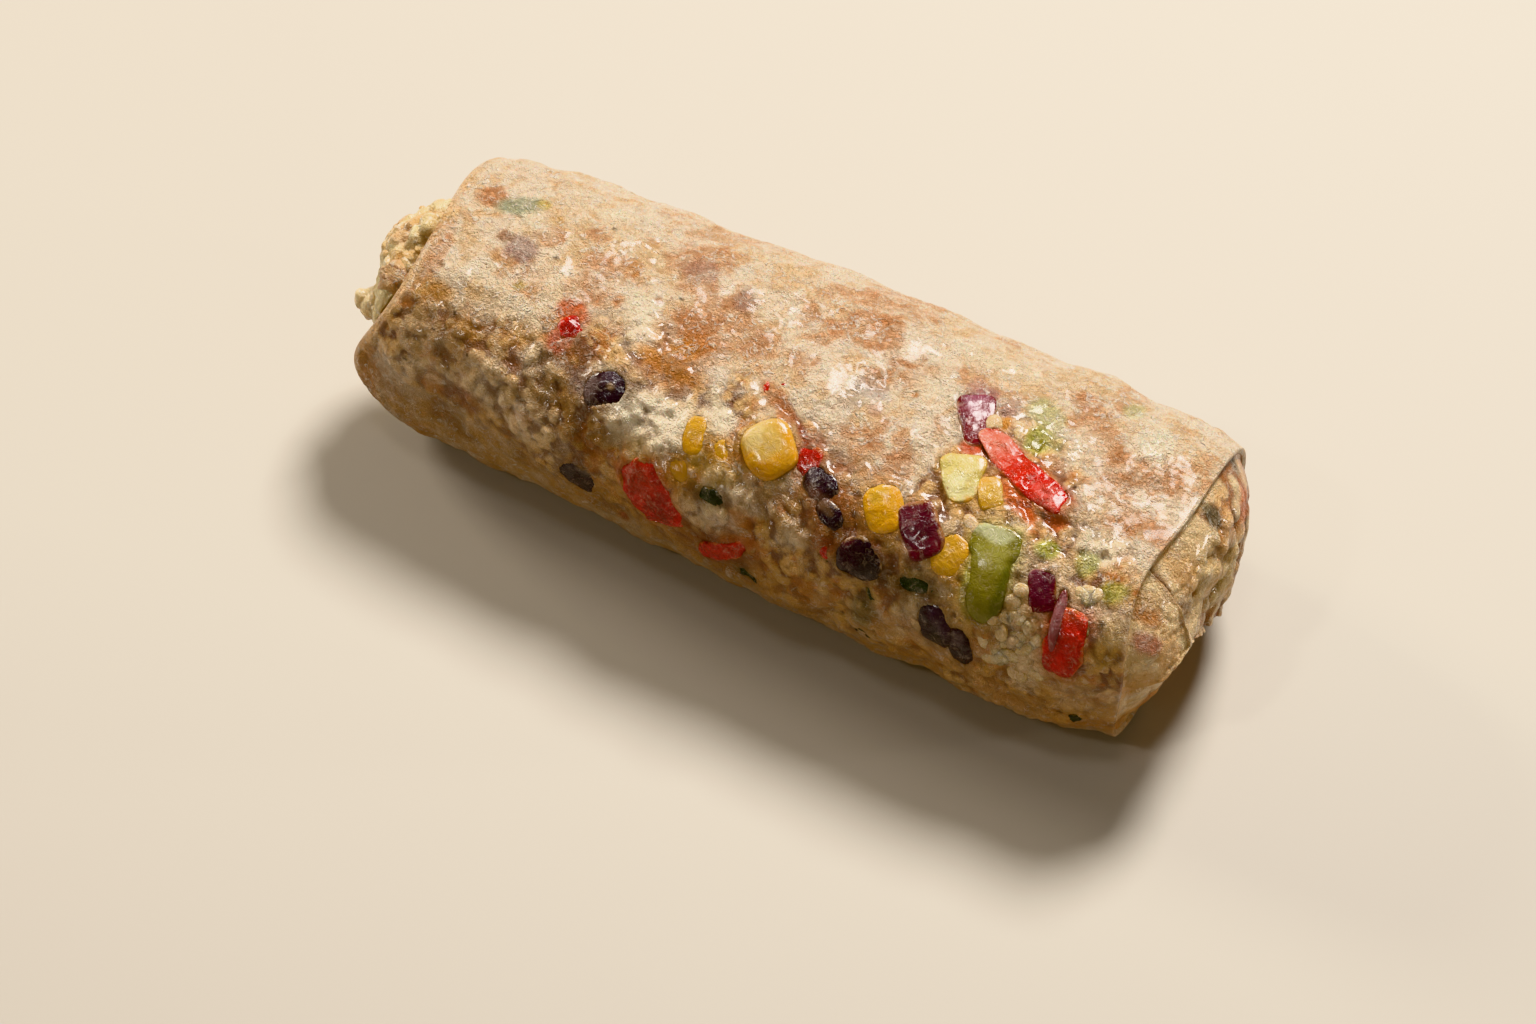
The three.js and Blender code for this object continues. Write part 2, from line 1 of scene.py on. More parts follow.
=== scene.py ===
"""A grilled burrito: a toasted tortilla round rice, black beans and diced vegetables.

Shapes are worked out in millimetres in the part's own directions. "Along" runs down the roll,
and "around" is the angle about its middle line, 0 at the crown and growing towards the front.
"""

import itertools
import math

import bmesh
import bpy
import numpy as np
from mathutils import Matrix, Vector


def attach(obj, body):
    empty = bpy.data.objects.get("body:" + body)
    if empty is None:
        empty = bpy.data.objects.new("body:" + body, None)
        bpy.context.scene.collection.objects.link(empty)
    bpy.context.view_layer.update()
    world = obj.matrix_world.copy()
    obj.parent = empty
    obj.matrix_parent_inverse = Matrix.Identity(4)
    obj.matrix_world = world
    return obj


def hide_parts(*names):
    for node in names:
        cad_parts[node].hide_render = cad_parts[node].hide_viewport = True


bl_info = {
    "name": "Burrito",
    "version": (1, 0, 0),
    "blender": (4, 5, 0),
    "location": "View3D > Sidebar > Burrito",
    "description": "A grilled burrito with its filling showing through the front",
    "category": "Add Mesh",
}

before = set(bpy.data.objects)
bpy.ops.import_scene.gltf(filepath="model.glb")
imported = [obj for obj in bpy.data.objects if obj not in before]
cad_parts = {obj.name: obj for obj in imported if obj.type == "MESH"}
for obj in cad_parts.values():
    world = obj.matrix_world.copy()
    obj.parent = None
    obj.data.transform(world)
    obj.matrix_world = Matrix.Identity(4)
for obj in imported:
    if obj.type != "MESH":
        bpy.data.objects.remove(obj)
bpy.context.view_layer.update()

MM = 0.001

# ---- The roll ----

HALF_LENGTH = 88
HALF_WIDTH = 34.3
HALF_HEIGHT = 26.1
SQUARENESS = 2.5
FULLER_RIGHT = 2.6
SLIMMER_ENDS = 4
PRESSED_FLAT = 0.8
WALL = 4
MIDDLE_HEIGHT = HALF_HEIGHT - PRESSED_FLAT
MEAN_RADIUS = (HALF_WIDTH + HALF_HEIGHT) / 2

LIP_ALONG = -79.2
LIP_REACHES = ((98, 10.5), (-42, 2.8))  # around, reach
LIP_SHARPNESS = 4
LIP_ROUNDING = 2

RIM_ALONG = 87.6
RIM_WAVES = ((36, -2.6), (80, 1))  # around, reach
RIM_WAVE_SPREAD = 27
RIM_THICKNESS = 1.6
RIM_RECESS = 0.3

DOME_RISE = 6.9
DOME_FULLNESS = 3.9
DOME_EDGE = 0.93
FLAPS_MEET = (-15.5, 33)

SEAM_AROUND = -118
SEAM_SWAY = 3
SEAM_SWAY_LENGTH = 23
SEAM_LIFT = 1.3
SEAM_FADE = 60

LIP_TAPER = 0.3
BACK_TAPER = 0.9
BACK_TAPER_AROUND = -50
BACK_TAPER_SPREAD = 42
RIM_TAPER = 1.2
TAPER_LENGTH = 6

WAVES = ((0.3, 0.21, 3, 0), (0.25, 0.13, -5, 1.3), (0.2, 0.33, 2, 4))  # height, per mm, turns, phase
SWELLS = (  # along, around, size, height
    (-20, 100, 11, -1.1), (60, 100, 12, 1.3), (-74, 110, 14, 1.5), (-57, -50, 12, 0.6),
    (-36, -50, 10, -0.7), (-5, -50, 12, 0.3), (76, -50, 11, 0.5),
)

# The filling at the open end
HEAP_RECESS = 2.2
HEAP_FOLLOWS_LIP = 1.5
LUMP = {"y": -6.6, "z": 35.2, "half_width": 13.4, "half_height": 14.4, "rise": 14, "bluntness": 3.4}
TUCK_SPECK = (-88, -12.6, 39.8)
CRUMB = (-87.8, -15.6, 31.2)
CRUMB_SIZE = (12, 9.2, 9.6)
CRUMB_TIP = (-3.9, -1, -0.6)  # which way the crumb points
TUCK = {"centre": (-83.3, -15, 38.4), "half_sizes": (4.3, 4.2, 9.4), "lean": 14}

# ---- Pieces that show through the front ----
# Each lobe is: along, around, turn, length, width, proud, then what differs from a plain lobe

PIECES = {
    "onion_sliver": ("onion", [(73.3, 59, 82, 13.5, 2.8, 2, {"depth": 0.9})]),
    "onion_right": ("onion", [(68.3, 51.6, 67, 8.6, 5.8, 1.1, {"square": 5})]),
    "red_pepper_dice_right": (
        "red_pepper", [(75.9, 65, 86, 14.6, 8.4, 1.3, {"square": 4.2, "wedge": -0.18})],
    ),
    "corn_kernel_large": ("corn", [(7.2, 44, 38, 11.8, 10.6, 2.9, {"square": 2.9, "wedge": -0.1})]),
    "corn_kernel_middle": ("corn", [(-8, 49.5, 80, 8.4, 5.2, 1.2, {"square": 2.6})]),
    "corn_kernel_small": ("corn", [(-2, 50.5, 37, 5.1, 4.3, 0.9, {})]),
    "corn_kernel_low": ("corn", [(-8.6, 62.4, 44, 6.4, 5.2, 0.7, {})]),
    "onion_dark": ("onion", [(41.8, 48.7, 50, 11.4, 8, 2, {"square": 4.5})]),
    "yellow_pepper_bright": ("yellow_pepper", [(33.2, 47, 58, 9.8, 8, 1.6, {"square": 3})]),
    "yellow_pepper_lower": ("yellow_pepper", [(49, 52.6, 105, 8.6, 6.6, 1.2, {"square": 3})]),
    "pale_pepper_wedge": ("yellow_pepper", [(44.4, 25.6, 65, 10.8, 8, 1.5, {"square": 4, "wedge": -0.4})]),
    "yellow_pepper_small": ("yellow_pepper", [(50.9, 27, 58, 7.2, 5.2, 1.5, {"square": 3.6})]),
    "red_pepper_strip": ("red_pepper", [(54.4, 13, 23, 24.4, 6.4, 1.5, {"square": 3.8, "bend": -0.9})]),
    "avocado": ("avocado", [
        (57.8, 56, 82, 16.8, 9, 1.7, {}),
        (56.4, 43, -6, 11, 7.6, 1.5, {"square": 3.4}),
        (57, 50, 80, 12, 9, 1.6, {}),
    ]),
    "onion_magenta": ("onion", [(41, -2.6, 64, 12.6, 7.2, 0.9, {"square": 3.4, "wedge": -0.3})]),
    "red_pepper_dice_left": ("red_pepper", [(-14, 77.4, 54, 16.6, 12, 1.1, {"square": 3.6})]),
    "red_pepper_low": ("red_pepper", [(3.2, 87.3, -43, 15.6, 5, 0.9, {"square": 2.6, "wedge": -0.2})]),
    "red_pepper_dark": ("red_pepper", [(15.3, 42.6, 68, 6, 5.4, 0.9, {"square": 3})]),
    "red_pepper_bit": ("red_pepper", [(-42.2, 31.1, -53, 5.6, 4.8, 0.5, {"square": 2.6})]),
    "black_bean_veiled": ("bean", [(-29.6, 47.3, -38, 10.8, 7.6, 0.8, {"bend": 0.8})]),
    "black_bean_left": ("bean", [(-31.2, 86.2, 43, 9.6, 7.4, 0.9, {"bend": 0.6})]),
    "black_bean_split": ("bean", [
        (19.4, 48, 20, 8.4, 7, 1.1, {"bend": -0.8}),
        (23.4, 55.4, 20, 8, 5, 0.8, {}),
    ]),
    "black_bean_dark": ("bean", [(32, 65.8, -5, 10.6, 9.2, 1.4, {"bend": 0.9})]),
    "black_bean_right": ("bean", [(50.6, 77, 70, 11, 7.6, 1.3, {}), (56.4, 81.5, 75, 10.4, 5.6, 1, {})]),
    "herb_leaf_right": ("herb", [(44.2, 66, -13, 8.4, 4.8, 0.5, {"depth": 0.5, "wave": 0.3})]),
    "herb_leaf_left": ("herb", [(-1, 66.4, -3, 6.6, 3.8, 0.5, {"depth": 0.5, "wave": 0.3})]),
    "herb_leaf_low": ("herb", [(9.2, 93.5, 8, 6.2, 4, 0.5, {"depth": 0.5, "wave": 0.3})]),
}
PLAIN_LOBE = {"square": 2.2, "wedge": 0, "bend": 0, "wave": 0, "depth": 2.6}
TOP_FLATNESS = 1.5

# Rice that lies bare beside the pieces: along, around, turn, length, width
BARE_RICE = (
    (63.8, 58.5, 20, 4, 3), (63.5, 70, 70, 4.2, 3), (68, 65, 40, 3.6, 2.8), (63.8, 80, -35, 6.4, 4.2),
    (66.6, 77, 10, 4.4, 3.2), (69, 73, -50, 4.6, 3), (71.5, 80.5, 30, 5.4, 3.2), (65.5, 63, -10, 4.2, 3.2),
    (61, 75, 60, 4, 3), (64.5, 54, 0, 3.8, 2.8), (70.6, 68.5, 80, 4.2, 3), (60.6, 66, 30, 3.6, 2.8),
    (66.8, 69.5, -20, 4.4, 3.2), (68.4, 84, 10, 4.6, 3), (44.6, -3.4, 64, 5, 3.4), (49.6, -5.4, 52, 5, 2.8),
    (50.4, 40.6, 35, 5, 3), (76, 48, 25, 4.6, 3), (79.6, 56, 80, 4.6, 3),
)

# More rice in clusters: along, around, spread, count
RICE_CLUSTERS = ((66, 74, 3, 8), (79, 58, 2, 4), (76, 46, 2, 4))

# Scraps too small for a part of their own: slot, along, around, turn, length, width, proud
SCRAPS = (
    ("red_pepper", 3.5, 19.8, 60, 2.4, 1.8, 0.5), ("red_pepper", 0.2, 22.4, 70, 3, 1.6, 0.4),
    ("red_pepper", 2, 24.6, 10, 1.8, 1.2, 0.35), ("red_pepper", 24.8, 68, 50, 4, 2.4, 0.5),
    ("avocado", 65.7, 38.9, 10, 4, 3, 0.7), ("avocado", 53.8, -5, 70, 5, 3.4, 0.5),
    ("herb", 16.4, 36.9, 20, 3, 1.8, 0.4), ("herb", 36.3, 77.1, 70, 5.3, 3.3, 0.35),
    ("herb", 34.9, 100, 10, 5.4, 3.6, 0.35), ("herb", 53.9, 104.6, 80, 5, 2, 0.35),
    ("herb", 79.9, 101.2, -40, 5, 3, 0.35), ("herb", 27.6, 72, 10, 5, 1.6, 0.35),
    ("bean", 13.6, 97, 10, 7, 4, 0.4), ("corn", 44, -25, 0, 2.6, 2, 0.35),
    ("corn", 55, -18, 0, 2.4, 1.8, 0.3), ("corn", -7, 70, 20, 4, 3, 0.3), ("corn", 2.8, 46, 10, 3, 2, 0.3),
)

# ---- How the skin is toasted, stained and blistered ----
# Each patch is: along, around, length, width, turn, strength

TOASTED = (
    (-73, -15, 6, 7, 0, 1), (-77, 12, 5, 10, 0, 0.8), (-76, 32, 5, 16, 0, 1), (-56, -6, 8, 6, 0, 0.8),
    (-64, 12, 9, 6, 0, 0.6), (-43, 2, 11, 9, 20, 0.8), (-41, 13, 10, 9, 0, 0.9), (-38, -6, 7, 7, 0, 0.8),
    (-27, -26, 17, 17, 0, 0.8), (-24, -14, 12, 9, 0, 0.8), (-14, -5, 17, 11, 0, 0.8),
    (-18, 9, 12, 10, 0, 1), (-4, 6, 12, 9, 0, 0.7), (-23, 38, 8, 9, 0, 0.9), (-2, 15, 7, 6, 0, 0.6),
    (-68, -36, 14, 9, 0, 0.4), (-30, -43, 24, 9, 0, 0.5), (-48, -14, 6, 6, 0, 0.6), (-46, 14, 6, 8, 0, 0.6),
    (8, -40, 14, 12, 0, 0.7), (11, -25, 19, 17, 0, 0.85), (3, -14, 12, 9, 0, 0.6), (5, 4, 10, 8, 0, 0.7),
    (18, -3, 6, 6, 0, 0.9), (22, -13, 14, 10, 0, 0.7), (20, 28, 17, 9, -10, 0.8), (32, 30, 8, 11, 0, 0.9),
    (33, 9, 8, 7, 0, 0.5), (34, -19, 9, 9, 0, 0.5), (58, -35, 11, 8, 0, 0.8), (62, -26, 17, 8, 0, 0.7),
    (67, -12, 13, 16, 0, 0.8), (77, -12, 13, 15, 0, 0.85), (71, 1, 17, 10, 0, 0.8), (80, 9, 10, 10, 0, 1),
    (77, 17, 9, 7, 0, 0.9), (85, -25, 5, 14, 0, 0.5), (84, 16, 5, 10, 0, 0.7), (18, -46, 10, 7, 0, 0.6),
    (-80, 60, 6, 20, 0, 0.8), (-84, 90, 7, 30, 0, 1), (30, -120, 40, 20, 0, 0.7),
    (-30, -95, 46, 12, 0, 0.6), (60, -90, 30, 14, 0, 0.7), (0, 130, 150, 16, 0, 0.35),
    (-50, 180, 40, 20, 0, 0.6), (40, 170, 50, 26, 0, 0.7),
)
BLISTERED = (
    (-30, 13, 11, 6, 55, 1), (-27, 23, 8, 7, 0, 1), (4, 33, 8, 5, 0, 0.5), (74, -27, 10, 10, -30, 1),
    (19, 5, 10, 7, 0, 0.8), (-47, -31, 8, 5, -30, 0.9), (62, -7, 8, 12, 0, 0.6), (77, 29, 14, 9, 0, 0.7),
    (-13, 45, 8, 6, 0, 0.7), (-60, -9, 10, 4, 20, 0.6), (40, -36, 24, 8, 0, 0.6), (-45, 50, 14, 8, 0, 0.4),
    (-66, 24, 12, 6, 0, 0.5), (30, -10, 10, 8, 0, 0.5), (-50, 18, 10, 8, 0, 0.4),
    (-63, 34, 18, 14, 0, 0.55), (-54, 34, 10, 10, 20, 0.5), (-70, 56, 14, 14, 0, 0.35),
    (-56, 62, 16, 12, 0, 0.4), (-17, 50, 24, 17, 10, 1), (-6, 42, 12, 8, 0, 0.9), (-1, 60, 8, 6, 0, 0.7),
    (6, 62, 14, 7, 0, 0.5), (0, 74, 16, 8, 0, 0.5), (18, 66, 10, 8, 0, 0.4), (48, 64, 8, 6, 0, 0.4),
    (70, 74, 18, 18, 0, 0.4),
)
# The skin is thin and damp over the filling between two angles: along, around
DAMP_LOW_EDGE = ((-90, 66), (-60, 72), (-34, 84), (-10, 92), (30, 98), (60, 96), (90, 104))
DAMP_FADE = 22  # degrees, below the low edge
DAMP_EDGE = (
    (-95, 34), (-72, 34), (-58, 34), (-49, 34), (-41, 33), (-37, 14), (-24, 14), (-18, 30), (-5, 25),
    (5, 36), (36, 40), (40, 8), (44, -14), (58, -14), (64, 4), (68, 22), (76, 24), (95, 24),
)
# Each stain is: colour, along, around, length, width, turn, strength
STAINS = (
    ((176, 106, 52), -20, 24, 16, 20, 0, 0.5), ((112, 72, 26), -40, 53, 13, 18, 0, 0.55),
    ((122, 66, 30), 2, 93, 22, 14, 0, 0.6), ((150, 106, 58), -66, 52, 24, 22, 0, 0.4),
    ((142, 76, 30), 24, 58, 15, 14, 0, 0.55), ((160, 88, 36), 33, 54, 9, 12, 0, 0.4),
    ((132, 84, 44), -78, 88, 12, 8, 0, 0.45), ((120, 74, 38), -60, 96, 10, 6, 30, 0.45),
    ((140, 88, 44), -44, 92, 8, 6, 0, 0.4), ((126, 78, 38), -24, 98, 12, 6, -20, 0.45),
    ((140, 90, 44), 20, 102, 12, 7, 0, 0.45), ((130, 80, 38), 46, 100, 9, 6, 20, 0.4),
    ((150, 160, 130), -66, -15, 10, 5, -30, 0.8), ((205, 175, 90), -62, -20, 3, 3, 0, 0.7),
    ((148, 112, 108), -61, 7, 8, 7, 0, 0.75), ((150, 95, 62), -65, 4, 4, 4, 0, 0.8),
    ((190, 130, 62), -63, 15, 7, 3, 0, 0.6), ((195, 145, 70), -57, -15, 2.6, 2.6, 0, 0.7),
    ((175, 145, 60), -56, 23.5, 3.4, 3.4, 0, 0.8), ((190, 125, 60), -61, 22, 3, 2.6, 0, 0.6),
    ((165, 125, 112), -25, -20, 8, 7, 0, 0.6), ((160, 125, 115), -13, -13, 6, 6, 0, 0.6),
    ((205, 140, 75), -37.5, -26, 4, 3, 0, 0.6), ((195, 130, 62), -37, -7, 4, 6, 0, 0.7),
    ((180, 105, 50), -29, 4, 1.6, 1.6, 0, 0.9), ((205, 135, 50), -19, 21, 7, 5, 0, 0.8),
    ((200, 138, 58), -20, 30, 16, 4, 10, 0.7), ((205, 90, 40), -43, 25, 7, 5, 0, 0.8),
    ((190, 90, 70), -43, 38, 5, 5, 0, 0.75), ((120, 100, 92), -34, 49, 9, 6, 0, 0.7),
    ((175, 115, 55), -46.5, 33, 3, 3, 0, 0.6), ((180, 125, 55), -70, 39, 6, 4, 0, 0.7),
    ((185, 165, 165), 19, 3.5, 8, 5, 0, 0.55), ((165, 130, 105), 17, 13, 6, 6, 0, 0.6),
    ((190, 130, 110), 22, 12, 4, 4, 0, 0.5), ((170, 110, 60), 19, -3, 5, 4, 0, 0.6),
    ((195, 130, 70), 27.5, -2.5, 1.8, 1.8, 0, 0.9), ((192, 192, 135), 52, -20, 8, 9, -20, 0.75),
    ((168, 168, 75), 53.5, -5, 5.5, 7, 0, 0.8), ((190, 185, 120), 57, -8, 4, 6, 0, 0.5),
    ((170, 135, 128), 45.5, -14, 5, 6, 0, 0.75), ((165, 105, 112), 40, -13, 6, 8, 0, 0.75),
    ((185, 130, 125), 37, -19, 4, 6, 0, 0.5), ((200, 135, 55), 46.5, -6, 2.6, 5, 0, 0.85),
    ((200, 72, 35), 43, 12, 5, 4, 0, 0.75), ((188, 82, 32), 57, 27, 13, 4, 30, 0.85),
    ((190, 90, 40), 65, 26, 5, 4, 0, 0.7), ((192, 196, 138), 66.5, -42, 4, 8, 0, 0.6),
    ((160, 165, 65), 66, 38, 5, 4, 0, 0.8), ((160, 168, 75), 74, 37, 5, 5, -50, 0.6),
    ((165, 170, 80), 81, 43, 6, 5, -40, 0.7), ((140, 50, 30), 11, 33, 11, 2.4, 40, 0.8),
    ((110, 62, 30), 27, 60, 10, 8, 0, 0.5), ((120, 72, 36), 14, 62, 12, 8, 0, 0.4),
    ((140, 62, 34), 24, 66, 5, 4, 0, 0.6), ((130, 75, 45), -59, 76, 9, 7, 0, 0.7),
    ((120, 65, 45), -65, 90, 8, 8, 0, 0.5), ((190, 150, 60), -18, 62, 8, 7, 0, 0.4),
    ((200, 160, 60), -3, 57, 12, 6, 0, 0.5), ((70, 75, 45), 35, 86, 6, 12, 0, 0.6),
    ((80, 80, 48), 8, 92, 6, 7, 0, 0.5), ((120, 70, 35), 40, 60, 6, 5, 0, 0.5),
    ((150, 70, 55), -21, 100, 3, 3, 0, 0.7), ((205, 165, 90), 84, 60, 5, 12, 0, 0.4),
    ((215, 175, 110), -78, 3, 4, 5, 0, 0.4), ((200, 150, 80), -64, 33, 5, 4, 0, 0.5),
    ((176, 96, 46), 2, 24, 9, 4, 40, 0.6), ((170, 88, 40), 7, 31, 8, 4, 50, 0.7),
    ((150, 78, 40), 15, 35, 8, 5, 50, 0.6), ((190, 120, 60), -16, 16, 12, 6, 0, 0.5),
    ((164, 102, 50), -18, 33, 13, 9, 0, 0.65), ((110, 66, 28), -31, 66, 14, 10, 0, 0.6),
    ((110, 50, 24), 6, 86, 16, 8, 0, 0.55), ((84, 54, 26), 40, 68, 10, 9, 0, 0.6),
    ((178, 112, 56), 28, 38, 12, 5, 20, 0.5), ((170, 96, 44), 22, 42, 6, 8, 0, 0.55),
    ((196, 140, 66), -52, 42, 8, 6, 0, 0.5), ((186, 128, 54), -62, 47, 7, 5, 20, 0.5),
    ((190, 134, 58), -73, 40, 6, 6, 0, 0.45),
)
# Dark specks: along, around, size
SPECKS = (
    (-65.5, 44, 0.7), (-30.7, 33.5, 0.5), (-45.3, 44.5, 0.5), (-25, -1.5, 0.5), (-47, 36, 0.5),
    (-69, 53, 0.5), (-52.5, 5, 0.8), (-46, -21.5, 0.6), (62.6, 46, 0.5), (82, -40, 0.5), (81.6, 53.5, 0.9),
    (65, 10, 0.5), (78, 98, 0.8), (30, 95, 0.7), (-74, 70, 0.6), (-60, 57, 0.4), (12, 60, 0.5),
    (-3, 74, 0.5),
)
# Small holes in the skin: along, around, size, depth
PITS = (
    (77, 33.4, 1.8, 1.1), (72, 34.6, 1.2, 0.7), (-73.5, 29, 1.2, 0.6), (51, 8, 1.2, 0.5), (24, -8, 1.3, 0.4),
)

# What the pieces stain round themselves: colour and how far it spreads
BLEEDS = {
    "red_pepper": ((172, 62, 30), 1.5), "onion": ((128, 82, 70), 0.9), "bean": ((96, 72, 58), 1.1),
    "avocado": ((160, 158, 74), 1.0), "corn": ((186, 136, 56), 0.9), "yellow_pepper": ((186, 140, 62), 0.8),
    "herb": ((96, 84, 48), 0.8),
}


# ---- Sizes and colours that a user would change ----

def length_property(name, description, default):
    return bpy.props.FloatProperty(
        name=name, description=description, default=default * MM, min=0, precision=5,
        unit="LENGTH", subtype="DISTANCE",
    )


def colour_property(name, description, default):
    return bpy.props.FloatVectorProperty(
        name=name, description=description, default=linear(default), size=3, min=0, max=1, subtype="COLOR"
    )


def power_property(name, description, default):
    return bpy.props.FloatProperty(name=name, description=description, default=default, min=0, unit="POWER")


def linear(colour):
    """A display colour of 0 to 255 as the linear one that shaders use."""
    shares = [value / 255 for value in colour[:3]]
    return tuple(s / 12.92 if s <= 0.04045 else ((s + 0.055) / 1.055) ** 2.4 for s in shares)


class BurritoSizes(bpy.types.PropertyGroup):
    grain_bump: length_property("Grain bump", "How high rice presses through the damp skin", 0.5)
    dry_bump: length_property("Dry bump", "How high rice presses through the toasted skin", 0.16)
    crinkle: length_property("Crinkle", "Height of the skin's fine creases", 0.12)
    blister: length_property("Blister", "How high the pale blisters stand", 0.5)
    piece_rim: length_property("Piece rim", "How high the skin hugs a piece", 0.35)
    grain_length: length_property("Grain length", "Length of a grain of rice", 6.0)
    grain_width: length_property("Grain width", "Width of a grain of rice", 2.3)
    heap_grains: bpy.props.IntProperty(
        name="Heap grains", description="Grains of rice over the open end", default=150, min=0, max=600
    )


class BurritoColours(bpy.types.PropertyGroup):
    cream: colour_property("Cream", "Skin that the griddle left pale", (243, 222, 194))
    golden: colour_property("Golden", "Skin lightly baked", (229, 194, 150))
    toast: colour_property("Toast", "Toasted skin", (206, 154, 114))
    char: colour_property("Char", "The darkest toasting", (172, 110, 64))
    blister: colour_property("Blister", "Thin pale blisters", (250, 235, 205))
    damp_light: colour_property("Damp light", "Rice under the damp skin", (206, 162, 102))
    # damp_dark is painted shade between the rice under the damp skin.
    damp_dark: colour_property("Damp dark", "Hollows between the rice under the damp skin", (104, 50, 16))
    rice: colour_property("Rice", "Bare cooked rice", (210, 182, 142))
    corn: colour_property("Corn", "Corn kernels", (206, 148, 34))
    yellow_pepper: colour_property("Yellow pepper", "Diced yellow pepper", (218, 156, 34))
    red_pepper: colour_property("Red pepper", "Diced red pepper", (190, 24, 12))
    onion: colour_property("Onion", "Purple onion", (96, 20, 34))
    avocado: colour_property("Avocado", "Avocado", (116, 108, 38))
    avocado_dark: colour_property("Dark avocado", "The avocado's outer side", (98, 92, 24))
    bean: colour_property("Bean", "Black bean skins", (38, 17, 30))
    herb: colour_property("Herb", "Chopped leaf", (38, 52, 22))


class BurritoStage(bpy.types.PropertyGroup):
    floor: colour_property("Floor", "The plain floor", (184, 177, 166))
    key_power: power_property("Key light", "Power of the main light", 16)
    top_power: power_property("Top light", "Power of the light overhead", 0.7)
    side_power: power_property("Side light", "Power of the light from the left", 4.8)
    fill_power: power_property("Fill light", "Power of the light from the right", 0.8)
    glint_power: power_property("Glint light", "Power of the small lights, which glint on wet things", 1.0)
    ambient: bpy.props.FloatProperty(
        name="Ambient", description="Strength of the light from all round", default=0.11, min=0
    )
    focal_length: bpy.props.FloatProperty(
        name="Focal length", description="The camera's lens", default=85, min=10, unit="CAMERA"
    )


# ---- The roll's shape ----

def bump(distance, width):
    return np.exp(-((distance / width) ** 2))


def smoothstep(value, low, high):
    share = np.clip((value - low) / (high - low), 0, 1)
    return share * share * (3 - 2 * share)


def value_noise(points, size, seed):
    """Smooth noise of about -1 to 1 at points in millimetres, with features of that size."""
    lattice = np.random.default_rng(seed).uniform(-1, 1, (32, 32, 32))
    scaled = points / size
    cell = np.floor(scaled).astype(int)
    part = scaled - cell
    part = part * part * (3 - 2 * part)
    total = np.zeros(points.shape[:-1])
    for corner in itertools.product((0, 1), repeat=3):
        index = (cell + corner) % 32
        weight = np.prod(np.where(np.array(corner) == 1, part, 1 - part), axis=-1)
        total += weight * lattice[index[..., 0], index[..., 1], index[..., 2]]
    return total


def end_lip(around):
    reach = 0
    for side, length in LIP_REACHES:
        facing = np.maximum(0, np.cos(around - math.radians(side)))
        reach = reach + length * facing ** LIP_SHARPNESS
    return LIP_ALONG - reach


def end_rim(around):
    along = RIM_ALONG + 0 * around
    for side, length in RIM_WAVES:
        apart = np.abs((np.degrees(around) - side + 180) % 360 - 180)
        along = along + length * bump(apart, RIM_WAVE_SPREAD)
    return along


def seam_at(along):
    return np.radians(SEAM_AROUND + SEAM_SWAY * np.sin(along / SEAM_SWAY_LENGTH))


def seam_lift(along, around):
    past = (around - seam_at(along)) % (2 * math.pi)
    return SEAM_LIFT * (1 - smoothstep(past, 0, math.radians(SEAM_FADE)))


def body_radius(along, around):
    share = along / HALF_LENGTH
    half_width = HALF_WIDTH + FULLER_RIGHT * share - SLIMMER_ENDS * share**2
    sideways = np.abs(np.sin(around)) / half_width
    upwards = np.abs(np.cos(around)) / HALF_HEIGHT
    radius = (sideways**SQUARENESS + upwards**SQUARENESS) ** (-1 / SQUARENESS)
    for height, per_mm, turns, phase in WAVES:
        radius = radius + height * np.sin(per_mm * along + turns * around + phase)
    for place, side, size, height in SWELLS:
        across = (around - math.radians(side)) * MEAN_RADIUS
        radius = radius + height * bump(np.hypot(along - place, across), size)
    back = np.abs((np.degrees(around) - BACK_TAPER_AROUND + 180) % 360 - 180)
    taper = LIP_TAPER + BACK_TAPER * bump(back, BACK_TAPER_SPREAD)
    at_lip = taper * np.exp(np.minimum(1, (LIP_ALONG - along) / TAPER_LENGTH))
    at_rim = RIM_TAPER * np.exp((along - RIM_ALONG) / TAPER_LENGTH)
    return radius - at_lip - at_rim


def point_at(along, around, radius):
    y = -radius * np.sin(around)
    z = np.maximum(0, MIDDLE_HEIGHT + radius * np.cos(around))
    return np.stack([along + 0 * y, y, z], axis=-1)


def skin_point(along, around, offset=0):
    return point_at(along, around, body_radius(along, around) + seam_lift(along, around) + offset)


def skin_normal(along, around):
    lengthwise = skin_point(along + 0.5, around) - skin_point(along - 0.5, around)
    round_it = skin_point(along, around + 0.02) - skin_point(along, around - 0.02)
    normal = np.cross(round_it, lengthwise)
    return normal / np.linalg.norm(normal, axis=-1, keepdims=True)


def arc_speed(along, around):
    """Millimetres round the skin for each radian."""
    ends = [skin_point(np.array(float(along)), np.array(around + side)) for side in (0.02, -0.02)]
    return float(np.linalg.norm(ends[0] - ends[1])) / 0.04


def drape(along, around, forwards, down, over):
    """Points that lie over the skin, forwards along the roll and down towards the front."""
    side = math.radians(around)
    place = along + forwards
    angle = side + down / arc_speed(along, side)
    return skin_point(place, angle) + skin_normal(place, angle) * np.asarray(over)[..., None]


def around_of(points):
    return np.arctan2(-points[..., 1], points[..., 2] - MIDDLE_HEIGHT)


def half_turn(angle):
    """An angle or angles in radians, brought between minus and plus half a turn."""
    return (angle + math.pi) % (2 * math.pi) - math.pi


def on_spot(along, around, place, side, turn):
    """Where points of the skin lie lengthwise and widthwise of a spot that is turned, in millimetres."""
    speed = arc_speed(place, math.radians(side))
    forwards = along - place
    down = half_turn(around - math.radians(side)) * speed
    cosine, sine = math.cos(math.radians(turn)), math.sin(math.radians(turn))
    return forwards * cosine + down * sine, down * cosine - forwards * sine


